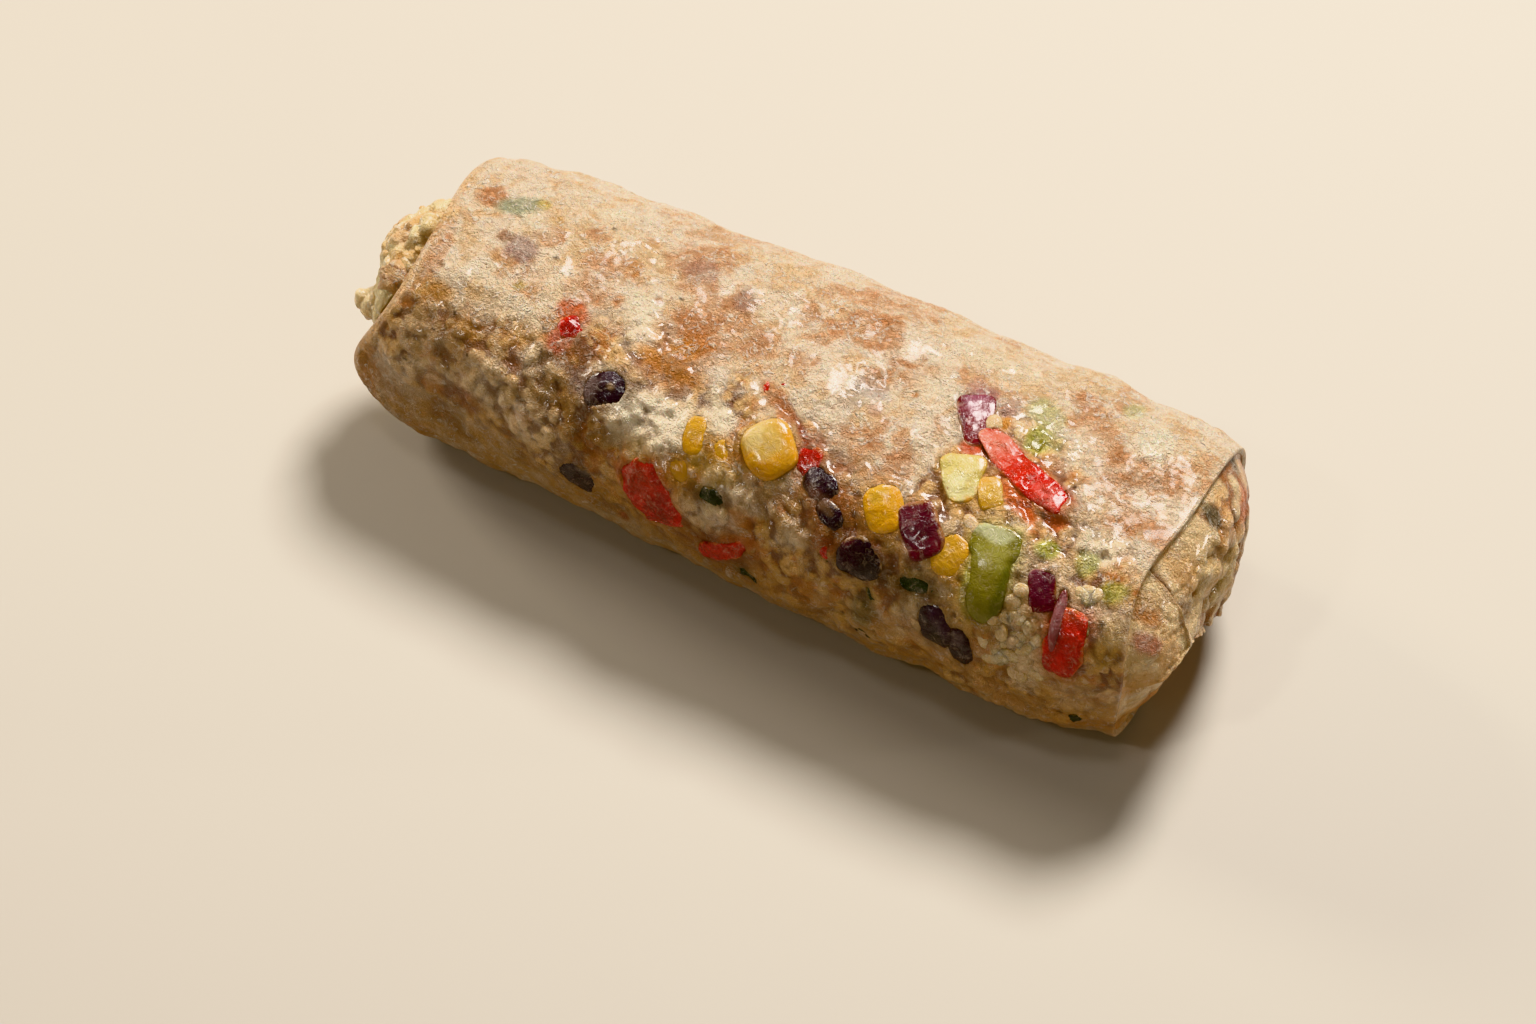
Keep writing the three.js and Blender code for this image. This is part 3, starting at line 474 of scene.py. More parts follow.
def patch_distance(along, around, patch):
    """How far from the middle of an elongated patch, where 1 is its edge."""
    place, side, length, width, turn = patch
    lengthwise, widthwise = on_spot(along, around, place, side, turn)
    return np.hypot(lengthwise / (length / 2), widthwise / (width / 2))


def outside_lobe(along, around, lobe):
    """Millimetres from a lobe's outline on the skin, below zero inside it."""
    place, side, turn, length, width, _, extra = lobe
    square, wedge, bend = (extra.get(key, PLAIN_LOBE[key]) for key in ("square", "wedge", "bend"))
    lengthwise, widthwise = on_spot(along, around, place, side, turn)
    share = np.clip(lengthwise / (length / 2), -1.5, 1.5)
    widthwise = widthwise - bend * share**2
    across = widthwise / (width / 2 * np.maximum(0.2, 1 + wedge * share))
    reach = (np.abs(lengthwise / (length / 2)) ** square + np.abs(across) ** square) ** (1 / square)
    distance = np.hypot(lengthwise, widthwise)
    return distance * (1 - 1 / np.maximum(reach, 1e-3))


def lumps_over(points, count, seed, sizes, stretch=1.4):
    """Heights from 0 to 1 of rounded lumps, such as packed rice, at spots picked out of the points."""
    draw = np.random.default_rng(seed)
    centres = points[draw.integers(0, len(points), count)] + draw.normal(0, 0.6, (count, 3))
    axes = draw.normal(0, 1, (count, 3))
    axes /= np.linalg.norm(axes, axis=1, keepdims=True)
    sizes = draw.uniform(*sizes, count)
    tall = draw.uniform(0.45, 1, count)
    height = np.zeros(len(points))
    for centre, axis, size, top in zip(centres, axes, sizes, tall):
        near = np.nonzero(np.abs(points - centre).max(axis=1) < size * stretch)[0]
        apart = points[near] - centre
        lengthwise = apart @ axis
        far = (lengthwise / stretch) ** 2 + (apart**2).sum(axis=1) - lengthwise**2
        height[near] = np.maximum(height[near], top * np.sqrt(np.maximum(0, 1 - far / size**2)))
    return height


# ---- Mesh helpers ----

def grid_mesh(columns, rows):
    """A flat grid with its vertices' column and row numbers."""
    bm = bmesh.new()
    bmesh.ops.create_grid(bm, x_segments=columns, y_segments=rows, size=1)
    flat = np.array([vertex.co[:2] for vertex in bm.verts])
    column = np.rint((flat[:, 0] + 1) / 2 * columns).astype(int)
    row = np.rint((flat[:, 1] + 1) / 2 * rows).astype(int)
    return bm, column, row


def move_vertices(vertices, points):
    """Puts vertices at points in millimetres."""
    for vertex, point in zip(vertices, (points * MM).tolist()):
        vertex.co = point


def close_up(bm, distance=1e-6):
    bmesh.ops.remove_doubles(bm, verts=bm.verts, dist=distance)
    bmesh.ops.dissolve_degenerate(bm, edges=bm.edges, dist=1e-8)
    bmesh.ops.recalc_face_normals(bm, faces=bm.faces)


def finish_piece(name, bm, material, replaces=(), painted=None):
    """Turns a bmesh into a piece that rides on the burrito, painted before its seams are merged."""
    mesh = bpy.data.meshes.new(name)
    bm.to_mesh(mesh)
    bm.free()
    if painted:
        for key, values in painted.items():
            store(mesh, key, values)
        merged = bmesh.new()
        merged.from_mesh(mesh)
        close_up(merged)
        merged.to_mesh(mesh)
        merged.free()
    mesh.shade_smooth()
    piece = bpy.data.objects.new(name, mesh)
    bpy.context.scene.collection.objects.link(piece)
    mesh.materials.append(material)
    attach(piece, "root")
    if replaces:
        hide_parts(*replaces)
    return piece


def mesh_points(mesh):
    """A mesh's vertices in millimetres."""
    flat = np.empty(len(mesh.vertices) * 3, np.float32)
    mesh.vertices.foreach_get("co", flat)
    return flat.reshape(-1, 3).astype(float) / MM


def stored(mesh, name):
    values = np.empty(len(mesh.vertices), np.float32)
    mesh.attributes[name].data.foreach_get("value", values)
    return values


def store(mesh, name, values):
    """Keeps a value, or a colour and its strength, for each vertex."""
    kind, key = ("FLOAT", "value") if values.ndim == 1 else ("FLOAT_COLOR", "color")
    attribute = mesh.attributes.get(name) or mesh.attributes.new(name, kind, "POINT")
    attribute.data.foreach_set(key, values.astype(np.float32).ravel())


def patches(along, around, wobble, listed):
    mask = np.zeros(along.shape)
    for place, side, length, width, turn, strength in listed:
        far = patch_distance(along, around, (place, side, length, width, turn))
        mask = np.maximum(mask, strength * (1 - smoothstep(far + 0.45 * wobble, 0.45, 1.35)))
    return mask


def blend_stains(along, around, wobble, listed):
    """One colour and strength for each vertex out of overlapping stains."""
    colour = np.zeros(along.shape + (4,))
    for rgb, place, side, length, width, turn, strength in listed:
        far = patch_distance(along, around, (place, side, length, width, turn))
        share = strength * (1 - smoothstep(far + 0.3 * wobble, 0.55, 1.3))
        colour = over(colour, rgb, share)
    return colour


def over(colour, rgb, share):
    """Lays a colour over those below it, as layers of paint lie."""
    alpha = share + colour[..., 3] * (1 - share)
    top = np.array(linear(rgb)) * share[..., None]
    below = colour[..., :3] * (colour[..., 3] * (1 - share))[..., None]
    mixed = (top + below) / np.maximum(alpha, 1e-6)[..., None]
    return np.concatenate([mixed, alpha[..., None]], axis=-1)


# ---- Shaders ----

class Tree:
    """Short ways to add nodes to a material or a group."""

    def __init__(self, tree):
        self.tree = tree

    def add(self, kind, inputs=None, **settings):
        node = self.tree.nodes.new("ShaderNode" + kind)
        for key, value in settings.items():
            setattr(node, key, value)
        for key, value in (inputs or {}).items():
            self.feed(node.inputs[key], value)
        return node

    def feed(self, socket, value):
        if isinstance(value, bpy.types.NodeSocket):
            self.tree.links.new(value, socket)
        elif socket.type == "RGBA" and len(value) == 3:
            socket.default_value = (*value, 1)
        else:
            socket.default_value = value

    def math(self, operation, *values, clamp=False):
        node = self.add("Math", operation=operation, use_clamp=clamp)
        for socket, value in zip(node.inputs, values):
            self.feed(socket, value)
        return node.outputs[0]

    def times(self, *values):
        return self.math("MULTIPLY", *values)

    def plus(self, *values, clamp=False):
        return self.math("ADD", *values, clamp=clamp)

    def minus(self, *values, clamp=False):
        return self.math("SUBTRACT", *values, clamp=clamp)

    def mix(self, share, low, high, blend="MIX"):
        node = self.add("Mix", data_type="RGBA", blend_type=blend)
        for key, value in ((0, share), (6, low), (7, high)):
            self.feed(node.inputs[key], value)
        return node.outputs[2]

    def ramp(self, value, low, high, start=0.0, end=1.0):
        node = self.add("MapRange", {"From Min": low, "From Max": high, "To Min": start, "To Max": end})
        node.interpolation_type = "SMOOTHSTEP"
        self.feed(node.inputs["Value"], value)
        return node.outputs["Result"]

    def noise(self, scale, detail=3.0, rough=0.55, distortion=0.0):
        node = self.add("TexNoise", {"Scale": scale, "Detail": detail, "Roughness": rough})
        self.feed(node.inputs["Distortion"], distortion)
        self.feed(node.inputs["Vector"], self.place())
        return node.outputs["Fac"]

    def place(self):
        return self.add("TexCoord").outputs["Object"]

    def attribute(self, name, output="Fac"):
        return self.add("Attribute", attribute_name=name).outputs[output]

    def group(self, name, inputs):
        node = self.tree.nodes.new("ShaderNodeGroup")
        node.node_tree = shared(name)
        for key, value in inputs.items():
            self.feed(node.inputs[key], value)
        return node.outputs


def new_group(name, inputs, outputs):
    """A shader group with named sockets, and its tree, inputs and outputs."""
    group = bpy.data.node_groups.new(name, "ShaderNodeTree")
    for socket, kind, default in inputs:
        made = group.interface.new_socket(name=socket, in_out="INPUT", socket_type="NodeSocket" + kind)
        made.default_value = default
    for socket, kind in outputs:
        group.interface.new_socket(name=socket, in_out="OUTPUT", socket_type="NodeSocket" + kind)
    tree = Tree(group)
    enter = group.nodes.new("NodeGroupInput")
    leave = group.nodes.new("NodeGroupOutput")
    return group, tree, enter.outputs, leave.inputs


def crinkle_group():
    """Fine creases like those of thin baked dough, with a few fibres."""
    group, tree, given, wanted = new_group(
        "Crinkled skin",
        [("Fineness", "Float", 700.0), ("Fibre", "Float", 0.5)],
        [("Height", "Float")],
    )
    folds = tree.noise(tree.times(given["Fineness"], 0.62), 4.0, 0.6, 1.3)
    creases = tree.math("ABSOLUTE", tree.minus(tree.noise(given["Fineness"], 3.0, 0.6, 1.6), 0.5))
    ridges = tree.ramp(creases, 0.0, 0.11, 1.0, 0.0)
    cells = tree.add("TexVoronoi", {"Scale": tree.times(given["Fineness"], 0.8)}, feature="SMOOTH_F1")
    bent = tree.add("VectorMath", operation="ADD")
    tree.feed(bent.inputs[0], tree.place())
    lean = tree.add("VectorMath", operation="SCALE", inputs={"Scale": 0.0018})
    swirl = tree.add("TexNoise", {"Scale": given["Fineness"], "Detail": 2.0})
    tree.feed(swirl.inputs["Vector"], tree.place())
    tree.feed(lean.inputs[0], swirl.outputs["Color"])
    tree.feed(bent.inputs[1], lean.outputs[0])
    tree.feed(cells.inputs["Vector"], bent.outputs[0])
    pads = tree.ramp(cells.outputs["Distance"], 0.0, 0.75, 1.0, 0.0)
    laid = tree.times(pads, tree.times(given["Fibre"], 0.5))
    height = tree.plus(folds, tree.times(ridges, 0.3))
    tree.feed(wanted["Height"], tree.plus(height, laid))
    return group


def mottle_group():
    """Two colours in soft uneven patches."""
    group, tree, given, wanted = new_group(
        "Mottle",
        [
            ("Light", "Color", (1, 1, 1, 1)), ("Dark", "Color", (0, 0, 0, 1)),
            ("Scale", "Float", 120.0), ("Balance", "Float", 0.5),
        ],
        [("Color", "Color")],
    )
    broad = tree.noise(given["Scale"], 5.0, 0.62, 0.6)
    low = tree.minus(given["Balance"], 0.16)
    high = tree.plus(given["Balance"], 0.16)
    mask = tree.ramp(broad, 0.0, 1.0)
    node = mask.node
    tree.feed(node.inputs["From Min"], low)
    tree.feed(node.inputs["From Max"], high)
    tree.feed(wanted["Color"], tree.mix(mask, given["Light"], given["Dark"]))
    return group


def speckle_group():
    """Scattered small specks."""
    group, tree, given, wanted = new_group(
        "Speckle", [("Scale", "Float", 300.0), ("Size", "Float", 0.1)], [("Mask", "Float")]
    )
    cells = tree.add("TexVoronoi", {"Scale": given["Scale"], "Vector": tree.place()})
    rare = tree.ramp(tree.noise(tree.times(given["Scale"], 0.31), 2.0), 0.5, 0.62)
    near = tree.math("LESS_THAN", cells.outputs["Distance"], given["Size"])
    tree.feed(wanted["Mask"], tree.times(near, rare))
    return group


def squiggle_group():
    """Short thin wandering wrinkles of a damp film, where they catch the light."""
    group, tree, given, wanted = new_group(
        "Squiggles", [("Scale", "Float", 500.0), ("Width", "Float", 0.1)], [("Light", "Float")]
    )
    level = tree.minus(tree.noise(given["Scale"], 2.0, 0.5, 1.4), 0.5)
    off = tree.math("ABSOLUTE", tree.math("DIVIDE", level, given["Width"]))
    broken = tree.ramp(tree.noise(tree.times(given["Scale"], 0.9), 2.0), 0.5, 0.6)
    tree.feed(wanted["Light"], tree.times(tree.ramp(off, 0.0, 1.0, 1.0, 0.0), broken))
    return group


def damp_group():
    """Roughness and a wet film that lies in uneven beads."""
    group, tree, given, wanted = new_group(
        "Damp film",
        [("Damp", "Float", 1.0), ("Dry", "Float", 0.6), ("Wet", "Float", 0.25), ("Scale", "Float", 500.0)],
        [("Roughness", "Float"), ("Film", "Float")],
    )
    beads = tree.ramp(tree.noise(given["Scale"], 3.0, 0.6), 0.38, 0.62)
    film = tree.math("MULTIPLY", given["Damp"], tree.plus(tree.times(beads, 0.6), 0.4), clamp=True)
    gap = tree.minus(given["Wet"], given["Dry"])
    tree.feed(wanted["Roughness"], tree.plus(given["Dry"], tree.times(gap, film)))
    tree.feed(wanted["Film"], film)
    return group


GROUP_MAKERS = {
    "Crinkled skin": crinkle_group, "Mottle": mottle_group, "Speckle": speckle_group,
    "Squiggles": squiggle_group, "Damp film": damp_group,
}


def shared(name):
    return bpy.data.node_groups.get(name) or GROUP_MAKERS[name]()


def new_material(name):
    material = bpy.data.materials.get(name)
    if material:
        return material, None, None
    material = bpy.data.materials.new(name)
    material.use_nodes = True
    tree = Tree(material.node_tree)
    return material, tree, material.node_tree.nodes["Principled BSDF"]


def set_flesh(shader, weight, radius, scale, coat=0.0, coat_roughness=0.1, specular=0.5, ior=1.42):
    """What is the same all over: how light sinks in, and the wet coat."""
    shader.inputs["Subsurface Weight"].default_value = weight
    shader.inputs["Subsurface Radius"].default_value = radius
    shader.inputs["Subsurface Scale"].default_value = scale
    shader.inputs["Coat Weight"].default_value = coat
    shader.inputs["Coat Roughness"].default_value = coat_roughness
    shader.inputs["Specular IOR Level"].default_value = specular
    shader.inputs["IOR"].default_value = ior


def add_bump(tree, shader, height, distance, strength=1.0):
    node = tree.add("Bump", {"Height": height, "Strength": strength, "Distance": distance})
    tree.feed(shader.inputs["Normal"], node.outputs["Normal"])


def tinted(tree, colour):
    """A colour under the piece's own painted tint."""
    return tree.mix(tree.attribute("tint", "Alpha"), colour, tree.attribute("tint", "Color"))


SAUCE = (166, 92, 38)  # what soaks into the damp skin


def tortilla_material():
    material, tree, shader = new_material("Toasted tortilla")
    if tree is None:
        return material
    colours = bpy.context.scene.burrito_colours
    crinkle = tree.group("Crinkled skin", {"Fineness": 740.0, "Fibre": 0.6})
    dapple = tree.minus(tree.noise(230.0, 4.0, 0.55, 0.8), 0.5)
    broad = tree.minus(tree.noise(90.0, 4.0, 0.6, 0.4), 0.5)
    relief = tree.minus(crinkle["Height"], 0.75)
    baked = tree.ramp(tree.plus(broad, tree.times(dapple, 0.8)), -0.16, 0.16)
    plain = tree.mix(baked, colours.cream, colours.golden)
    heat = tree.plus(tree.attribute("toast"), tree.times(dapple, 2.1))
    heat = tree.plus(heat, tree.times(broad, 0.7))
    browned = tree.mix(tree.ramp(heat, 0.85, 1.6), colours.toast, colours.char)
    toasted = tree.mix(tree.ramp(heat, 0.0, 1.1), plain, browned)
    # Under the damp skin: damp_light where rice presses up, and damp_dark between the grains, which is painted
    # shade.
    rice = tree.plus(tree.times(tree.attribute("grain"), 1.2), tree.times(dapple, 1.3))
    under = tree.mix(tree.ramp(rice, 0.12, 0.8), colours.damp_dark, colours.damp_light)
    sauce = tree.ramp(tree.plus(broad, tree.times(dapple, 0.7)), 0.0, 0.14, 0.0, 0.75)
    under = tree.mix(sauce, under, linear(SAUCE))
    wet = tree.mix(tree.times(tree.attribute("damp"), 0.9), toasted, under)
    cloud = tree.plus(dapple, tree.times(tree.attribute("grain"), 0.25))
    whitish = tree.times(tree.attribute("pale"), tree.ramp(cloud, -0.18, 0.2, 0.3, 1.0))
    damp = tree.mix(whitish, wet, colours.blister)
    stain = tree.times(tree.attribute("tint", "Alpha"), tree.ramp(dapple, -0.3, 0.05, 0.55, 1.0))
    colour = tree.mix(stain, damp, tree.attribute("tint", "Color"))
    # Painted shade: the crinkle's hollows are darkened.
    hollow_shade = tree.ramp(relief, -0.34, 0.04, 0.3, 0.0)
    colour = tree.mix(hollow_shade, colour, tree.mix(1.0, colour, (0.8, 0.6, 0.42), "MULTIPLY"))
    # Painted highlight: the crinkle's crests are lightened.
    crest_highlight = tree.ramp(relief, 0.12, 0.5, 0.0, 0.4)
    colour = tree.mix(crest_highlight, colour, tree.mix(0.6, colour, (1.0, 0.87, 0.66)))
    # Painted highlights: thin wrinkle lines are lightened, less on the damp skin.
    squiggles = tree.group("Squiggles", {"Scale": 430.0, "Width": 0.09})
    glints = tree.times(squiggles["Light"], tree.ramp(broad, -0.14, 0.12, 0.35, 0.8))
    glints = tree.times(glints, tree.minus(1.0, tree.times(tree.attribute("damp"), 0.55)))
    colour = tree.mix(glints, colour, tree.mix(0.75, colour, (1.0, 0.92, 0.8)))
    flecks = tree.group("Speckle", {"Scale": 420.0, "Size": 0.17})["Mask"]
    colour = tree.mix(tree.times(flecks, 0.4), colour, colours.char)
    colour = tree.mix(tree.attribute("speck"), colour, (0.028, 0.014, 0.008))
    wetness = tree.plus(tree.times(tree.attribute("damp"), 0.8), tree.times(tree.attribute("pale"), 0.5))
    dampness = tree.minus(
        tree.plus(tree.times(wetness, 0.5), 0.42), tree.times(tree.attribute("toast"), 0.25), clamp=True
    )
    film = tree.group("Damp film", {"Damp": dampness, "Dry": 0.58, "Wet": 0.26, "Scale": 700.0})
    tree.feed(shader.inputs["Base Color"], colour)
    tree.feed(shader.inputs["Roughness"], film["Roughness"])
    coat = tree.plus(tree.times(tree.attribute("damp"), 0.15), 0.68)
    tree.feed(shader.inputs["Coat Weight"], tree.times(film["Film"], coat))
    height = tree.plus(crinkle["Height"], tree.times(squiggles["Light"], 0.3))
    height = tree.plus(height, tree.times(tree.noise(1900.0, 2.0, 0.5), 0.4))
    soft = tree.minus(1.05, tree.times(tree.attribute("damp"), 0.6))
    add_bump(tree, shader, tree.times(height, soft), 0.0021, 0.9)
    set_flesh(shader, 0.12, (1.0, 0.5, 0.25), 0.0012, 0.3, 0.15, 0.45)
    return material


def rice_material():
    material, tree, shader = new_material("Cooked rice")
    if tree is None:
        return material
    colours = bpy.context.scene.burrito_colours
    tones = {"Light": colours.rice, "Dark": colours.damp_light, "Scale": 260.0, "Balance": 0.5}
    grain = tree.group("Mottle", tones)["Color"]
    crinkle = tree.group("Crinkled skin", {"Fineness": 700.0, "Fibre": 0.5})
    # Painted shade: the crinkle's low parts are darkened.
    deep = tree.ramp(crinkle["Height"], 0.35, 0.8, 0.45, 0.0)
    body = tinted(tree, grain)
    colour = tree.mix(deep, body, tree.mix(1.0, body, (0.76, 0.6, 0.42), "MULTIPLY"))
    # Painted highlights along thin wrinkle lines.
    squiggles = tree.group("Squiggles", {"Scale": 430.0, "Width": 0.1})["Light"]
    colour = tree.mix(tree.times(squiggles, 0.6), colour, (1.0, 0.94, 0.8))
    film = tree.group("Damp film", {"Damp": 1.0, "Dry": 0.5, "Wet": 0.22, "Scale": 600.0})
    tree.feed(shader.inputs["Base Color"], colour)
    tree.feed(shader.inputs["Roughness"], film["Roughness"])
    tree.feed(shader.inputs["Coat Weight"], tree.times(film["Film"], 0.5))
    add_bump(tree, shader, crinkle["Height"], 0.0014, 0.8)
    set_flesh(shader, 0.15, (1.0, 0.75, 0.5), 0.0014, 0.4, 0.13, 0.5)
    return material


def wet_material(name, light, dark, scale, balance, flesh, bumps, coat):
    """Wet cut vegetables and beans: two tones, the skin's film over their edges, and small surface bumps."""
    material, tree, shader = new_material(name)
    if tree is None:
        return material
    colours = bpy.context.scene.burrito_colours
    body = tree.group("Mottle", {"Light": light, "Dark": dark, "Scale": scale, "Balance": balance})["Color"]
    colour = tinted(tree, body)
    uneven = tree.times(tree.minus(tree.noise(520.0, 4.0, 0.6, 0.8), 0.5), 1.5)
    veil = tree.ramp(tree.plus(tree.attribute("inside"), uneven), -0.12, 0.34, 0.85, 0.0)
    colour = tree.mix(veil, colour, tree.mix(0.42, colour, colours.damp_light))
    fineness, distance, strength = bumps
    height = tree.group("Crinkled skin", {"Fineness": fineness, "Fibre": 0.3})["Height"]
    # Painted shade: the bumps' low parts are darkened.
    deep = tree.ramp(height, 0.3, 0.75, 0.5 * strength, 0.0)
    colour = tree.mix(deep, colour, tree.mix(1.0, colour, (0.5, 0.4, 0.36), "MULTIPLY"))
    # Painted highlights along thin wrinkle lines.
    squiggles = tree.group("Squiggles", {"Scale": 560.0, "Width": 0.1})["Light"]
    colour = tree.mix(tree.times(squiggles, 0.6 * strength), colour, tree.mix(0.4, colour, (1.0, 0.84, 0.7)))
    film = tree.group("Damp film", {"Damp": 1.0, "Dry": 0.4, "Wet": 0.14, "Scale": 450.0})
    tree.feed(shader.inputs["Base Color"], colour)
    tree.feed(shader.inputs["Roughness"], film["Roughness"])
    tree.feed(shader.inputs["Coat Weight"], tree.times(film["Film"], coat))
    add_bump(tree, shader, height, distance, strength)
    weight, radius, depth = flesh
    set_flesh(shader, weight, radius, depth, coat, 0.17, 0.5)
    return material


def piece_material(kind):
    colours = bpy.context.scene.burrito_colours
    light = Vector(getattr(colours, kind))
    dark = colours.avocado_dark if kind == "avocado" else light * SHADE[kind]
    name, flesh, bumps = FLESH[kind]
    return wet_material(name, light, dark, 160.0, 0.55, flesh, bumps, 0.35 if kind == "avocado" else 0.6)


# How much darker each kind's darker tone is
SHADE = {
    "rice": 0.9, "corn": 0.75, "yellow_pepper": 0.7, "red_pepper": 0.5,
    "onion": 0.5, "bean": 0.45, "herb": 0.4,
}
# Material name, then how light sinks in (weight, radius, scale), then bumps (fineness, distance, strength)
FLESH = {
    "rice": ("Wet rice", (0.6, (1, 0.7, 0.35), 0.0022), (560.0, 0.0008, 0.7)),
    "corn": ("Wet corn", (0.3, (1, 0.6, 0.1), 0.002), (360.0, 0.0005, 0.4)),
    "yellow_pepper": ("Wet yellow pepper", (0.3, (1, 0.6, 0.12), 0.002), (420.0, 0.0006, 0.45)),
    "red_pepper": ("Wet red pepper", (0.12, (1, 0.12, 0.06), 0.0012), (520.0, 0.001, 0.7)),
    "onion": ("Wet purple onion", (0.2, (1, 0.2, 0.25), 0.0016), (340.0, 0.0006, 0.5)),
    "avocado": ("Soft avocado", (0.3, (0.8, 1, 0.2), 0.002), (420.0, 0.0005, 0.4)),
    "bean": ("Wet black bean", (0.1, (1, 0.5, 0.4), 0.001), (420.0, 0.0009, 0.5)),
    "herb": ("Chopped leaf", (0.1, (0.5, 1, 0.2), 0.001), (600.0, 0.0012, 0.9)),
}


# ---- The wrap ----

FRONT_SPACING = 0.98  # degrees
FRONT_FROM, FRONT_TO = -76, 119
BACK_SPACING = 3.2
ROW_SPACING = 0.53


def wrap_columns():
    """Angles from the seam once round, closer together where the roll shows most."""
    seam_again = SEAM_AROUND + 360
    front = np.arange(FRONT_FROM, FRONT_TO, FRONT_SPACING)
    before_count = int((FRONT_FROM - SEAM_AROUND) / BACK_SPACING)
    before = np.linspace(SEAM_AROUND, FRONT_FROM, before_count, endpoint=False)
    after = np.linspace(FRONT_TO, seam_again - 0.5, int((seam_again - FRONT_TO) / BACK_SPACING))
    return np.radians(np.concatenate([before, front, after, [seam_again]]))


def wrap_rows():
    """Each row of the wrap: which end it keeps to, how far from it, and how far under the skin."""
    wall = WALL + 0.4
    rows = [("lip", 13, -wall - 6, 0), ("lip", 12.5, -wall, 0), ("lip", 8, -wall, 0), ("lip", 4, -wall, 0)]
    for t in np.linspace(0, math.pi / 2, 5):  # rounded over from inside the wall
        rows.append(("lip", 1.7 - 1.3 * math.sin(t), -wall + 1.3 * (1 - math.cos(t)), 0))
    for t in np.linspace(0.4, 2.6, 4):  # up the end of the wall
        rows.append(("lip", 0.4 - 0.2 * math.sin(t), -wall + 1.3 + 0.5 * t, 0))
    for t in np.linspace(1.45, 0.12, 7):  # rounded over to the skin
        rows.append(("lip", LIP_ROUNDING * (1 - math.sin(t)), -LIP_ROUNDING * (1 - math.cos(t)) * 0.8, 0))
    count = int((RIM_ALONG - LIP_ALONG) / ROW_SPACING)
    rows += [("body", share, 0, 1) for share in np.linspace(0, 1, count)]
    rows += [("rim", 0.1, -0.3, 0), ("rim", 0.1, -0.8, 0), ("rim", 0, -1.25, 0), ("rim", -0.5, -1.55, 0)]
    rows += [("rim", -1.6, -1.9, 0), ("rim", -3, -2.6, 0), ("rim", -3.4, -6, 0)]
    return rows


def wrap_grid():
    """The wrap's grid of along, around and offset from the skin, all as rows by columns."""
    base = wrap_columns()
    along, offset, free = [], [], []
    for kind, value, under, relief in wrap_rows():
        lip, rim = end_lip(base), end_rim(base)
        body = lip + LIP_ROUNDING + (rim - lip - LIP_ROUNDING) * value
        place = {"lip": lip + value, "rim": rim + value, "body": body}
        along.append(place[kind])
        offset.append(np.full(base.shape, float(under)))
        free.append(np.full(base.shape, float(relief)))
    along = np.array(along)
    around = base[None, :] + seam_at(along) - math.radians(SEAM_AROUND)
    return along, around, np.array(offset), np.array(free)


def scatter_grains(count, seed, along_range, around_range, sizes):
    """Seeded grains over a stretch of skin: along, around, turn, length, width, height."""
    draw = np.random.default_rng(seed)
    return np.stack([
        draw.uniform(*along_range, count), draw.uniform(*around_range, count), draw.uniform(0, 180, count),
        sizes[0] * draw.uniform(0.75, 1.2, count), sizes[1] * draw.uniform(0.8, 1.3, count),
        draw.uniform(0.4, 1, count),
    ], axis=-1)


def grain_field(along, around, grains):
    """Heights from 0 to 1 of grains that press through the skin."""
    height = np.zeros(along.shape)
    lowest, highest = along[:, 0].min(), along[:, 0].max()
    for place, side, turn, length, width, tall in grains:
        angle = math.radians(side)
        speed = MEAN_RADIUS
        columns = np.nonzero(np.abs(around[len(along) // 2] - angle) * speed < length * 0.7)[0]
        if not len(columns):
            continue
        middle = along[:, columns[len(columns) // 2]]
        rows = np.nonzero(np.abs(middle - place) < length * 0.7 + 1.5)[0]
        if not len(rows):
            continue
        window = (slice(rows[0], rows[-1] + 1), slice(columns[0], columns[-1] + 1))
        forwards = along[window] - place
        down = (around[window] - angle) * speed
        cosine, sine = math.cos(math.radians(turn)), math.sin(math.radians(turn))
        lengthwise, widthwise = forwards * cosine + down * sine, down * cosine - forwards * sine
        far = (lengthwise / (length / 2)) ** 2 + (widthwise / (width / 2)) ** 2
        height[window] = np.maximum(height[window], tall * np.sqrt(np.maximum(0, 1 - far)))
    return height


def damp_mask(along, around, wobble):
    """1 where the skin is thin and damp over the filling, along the front."""
    angle = np.degrees(half_turn(around))
    edge = np.interp(along, *zip(*DAMP_EDGE))
    front = smoothstep(angle - edge + 9 * wobble, -7, 9)
    low = np.interp(along, *zip(*DAMP_LOW_EDGE))
    below = smoothstep(angle + 6 * wobble, low, low + DAMP_FADE)
    return front * (1 - below)


def all_lobes():
    return [(kind, lobe) for kind, lobes in PIECES.values() for lobe in lobes]


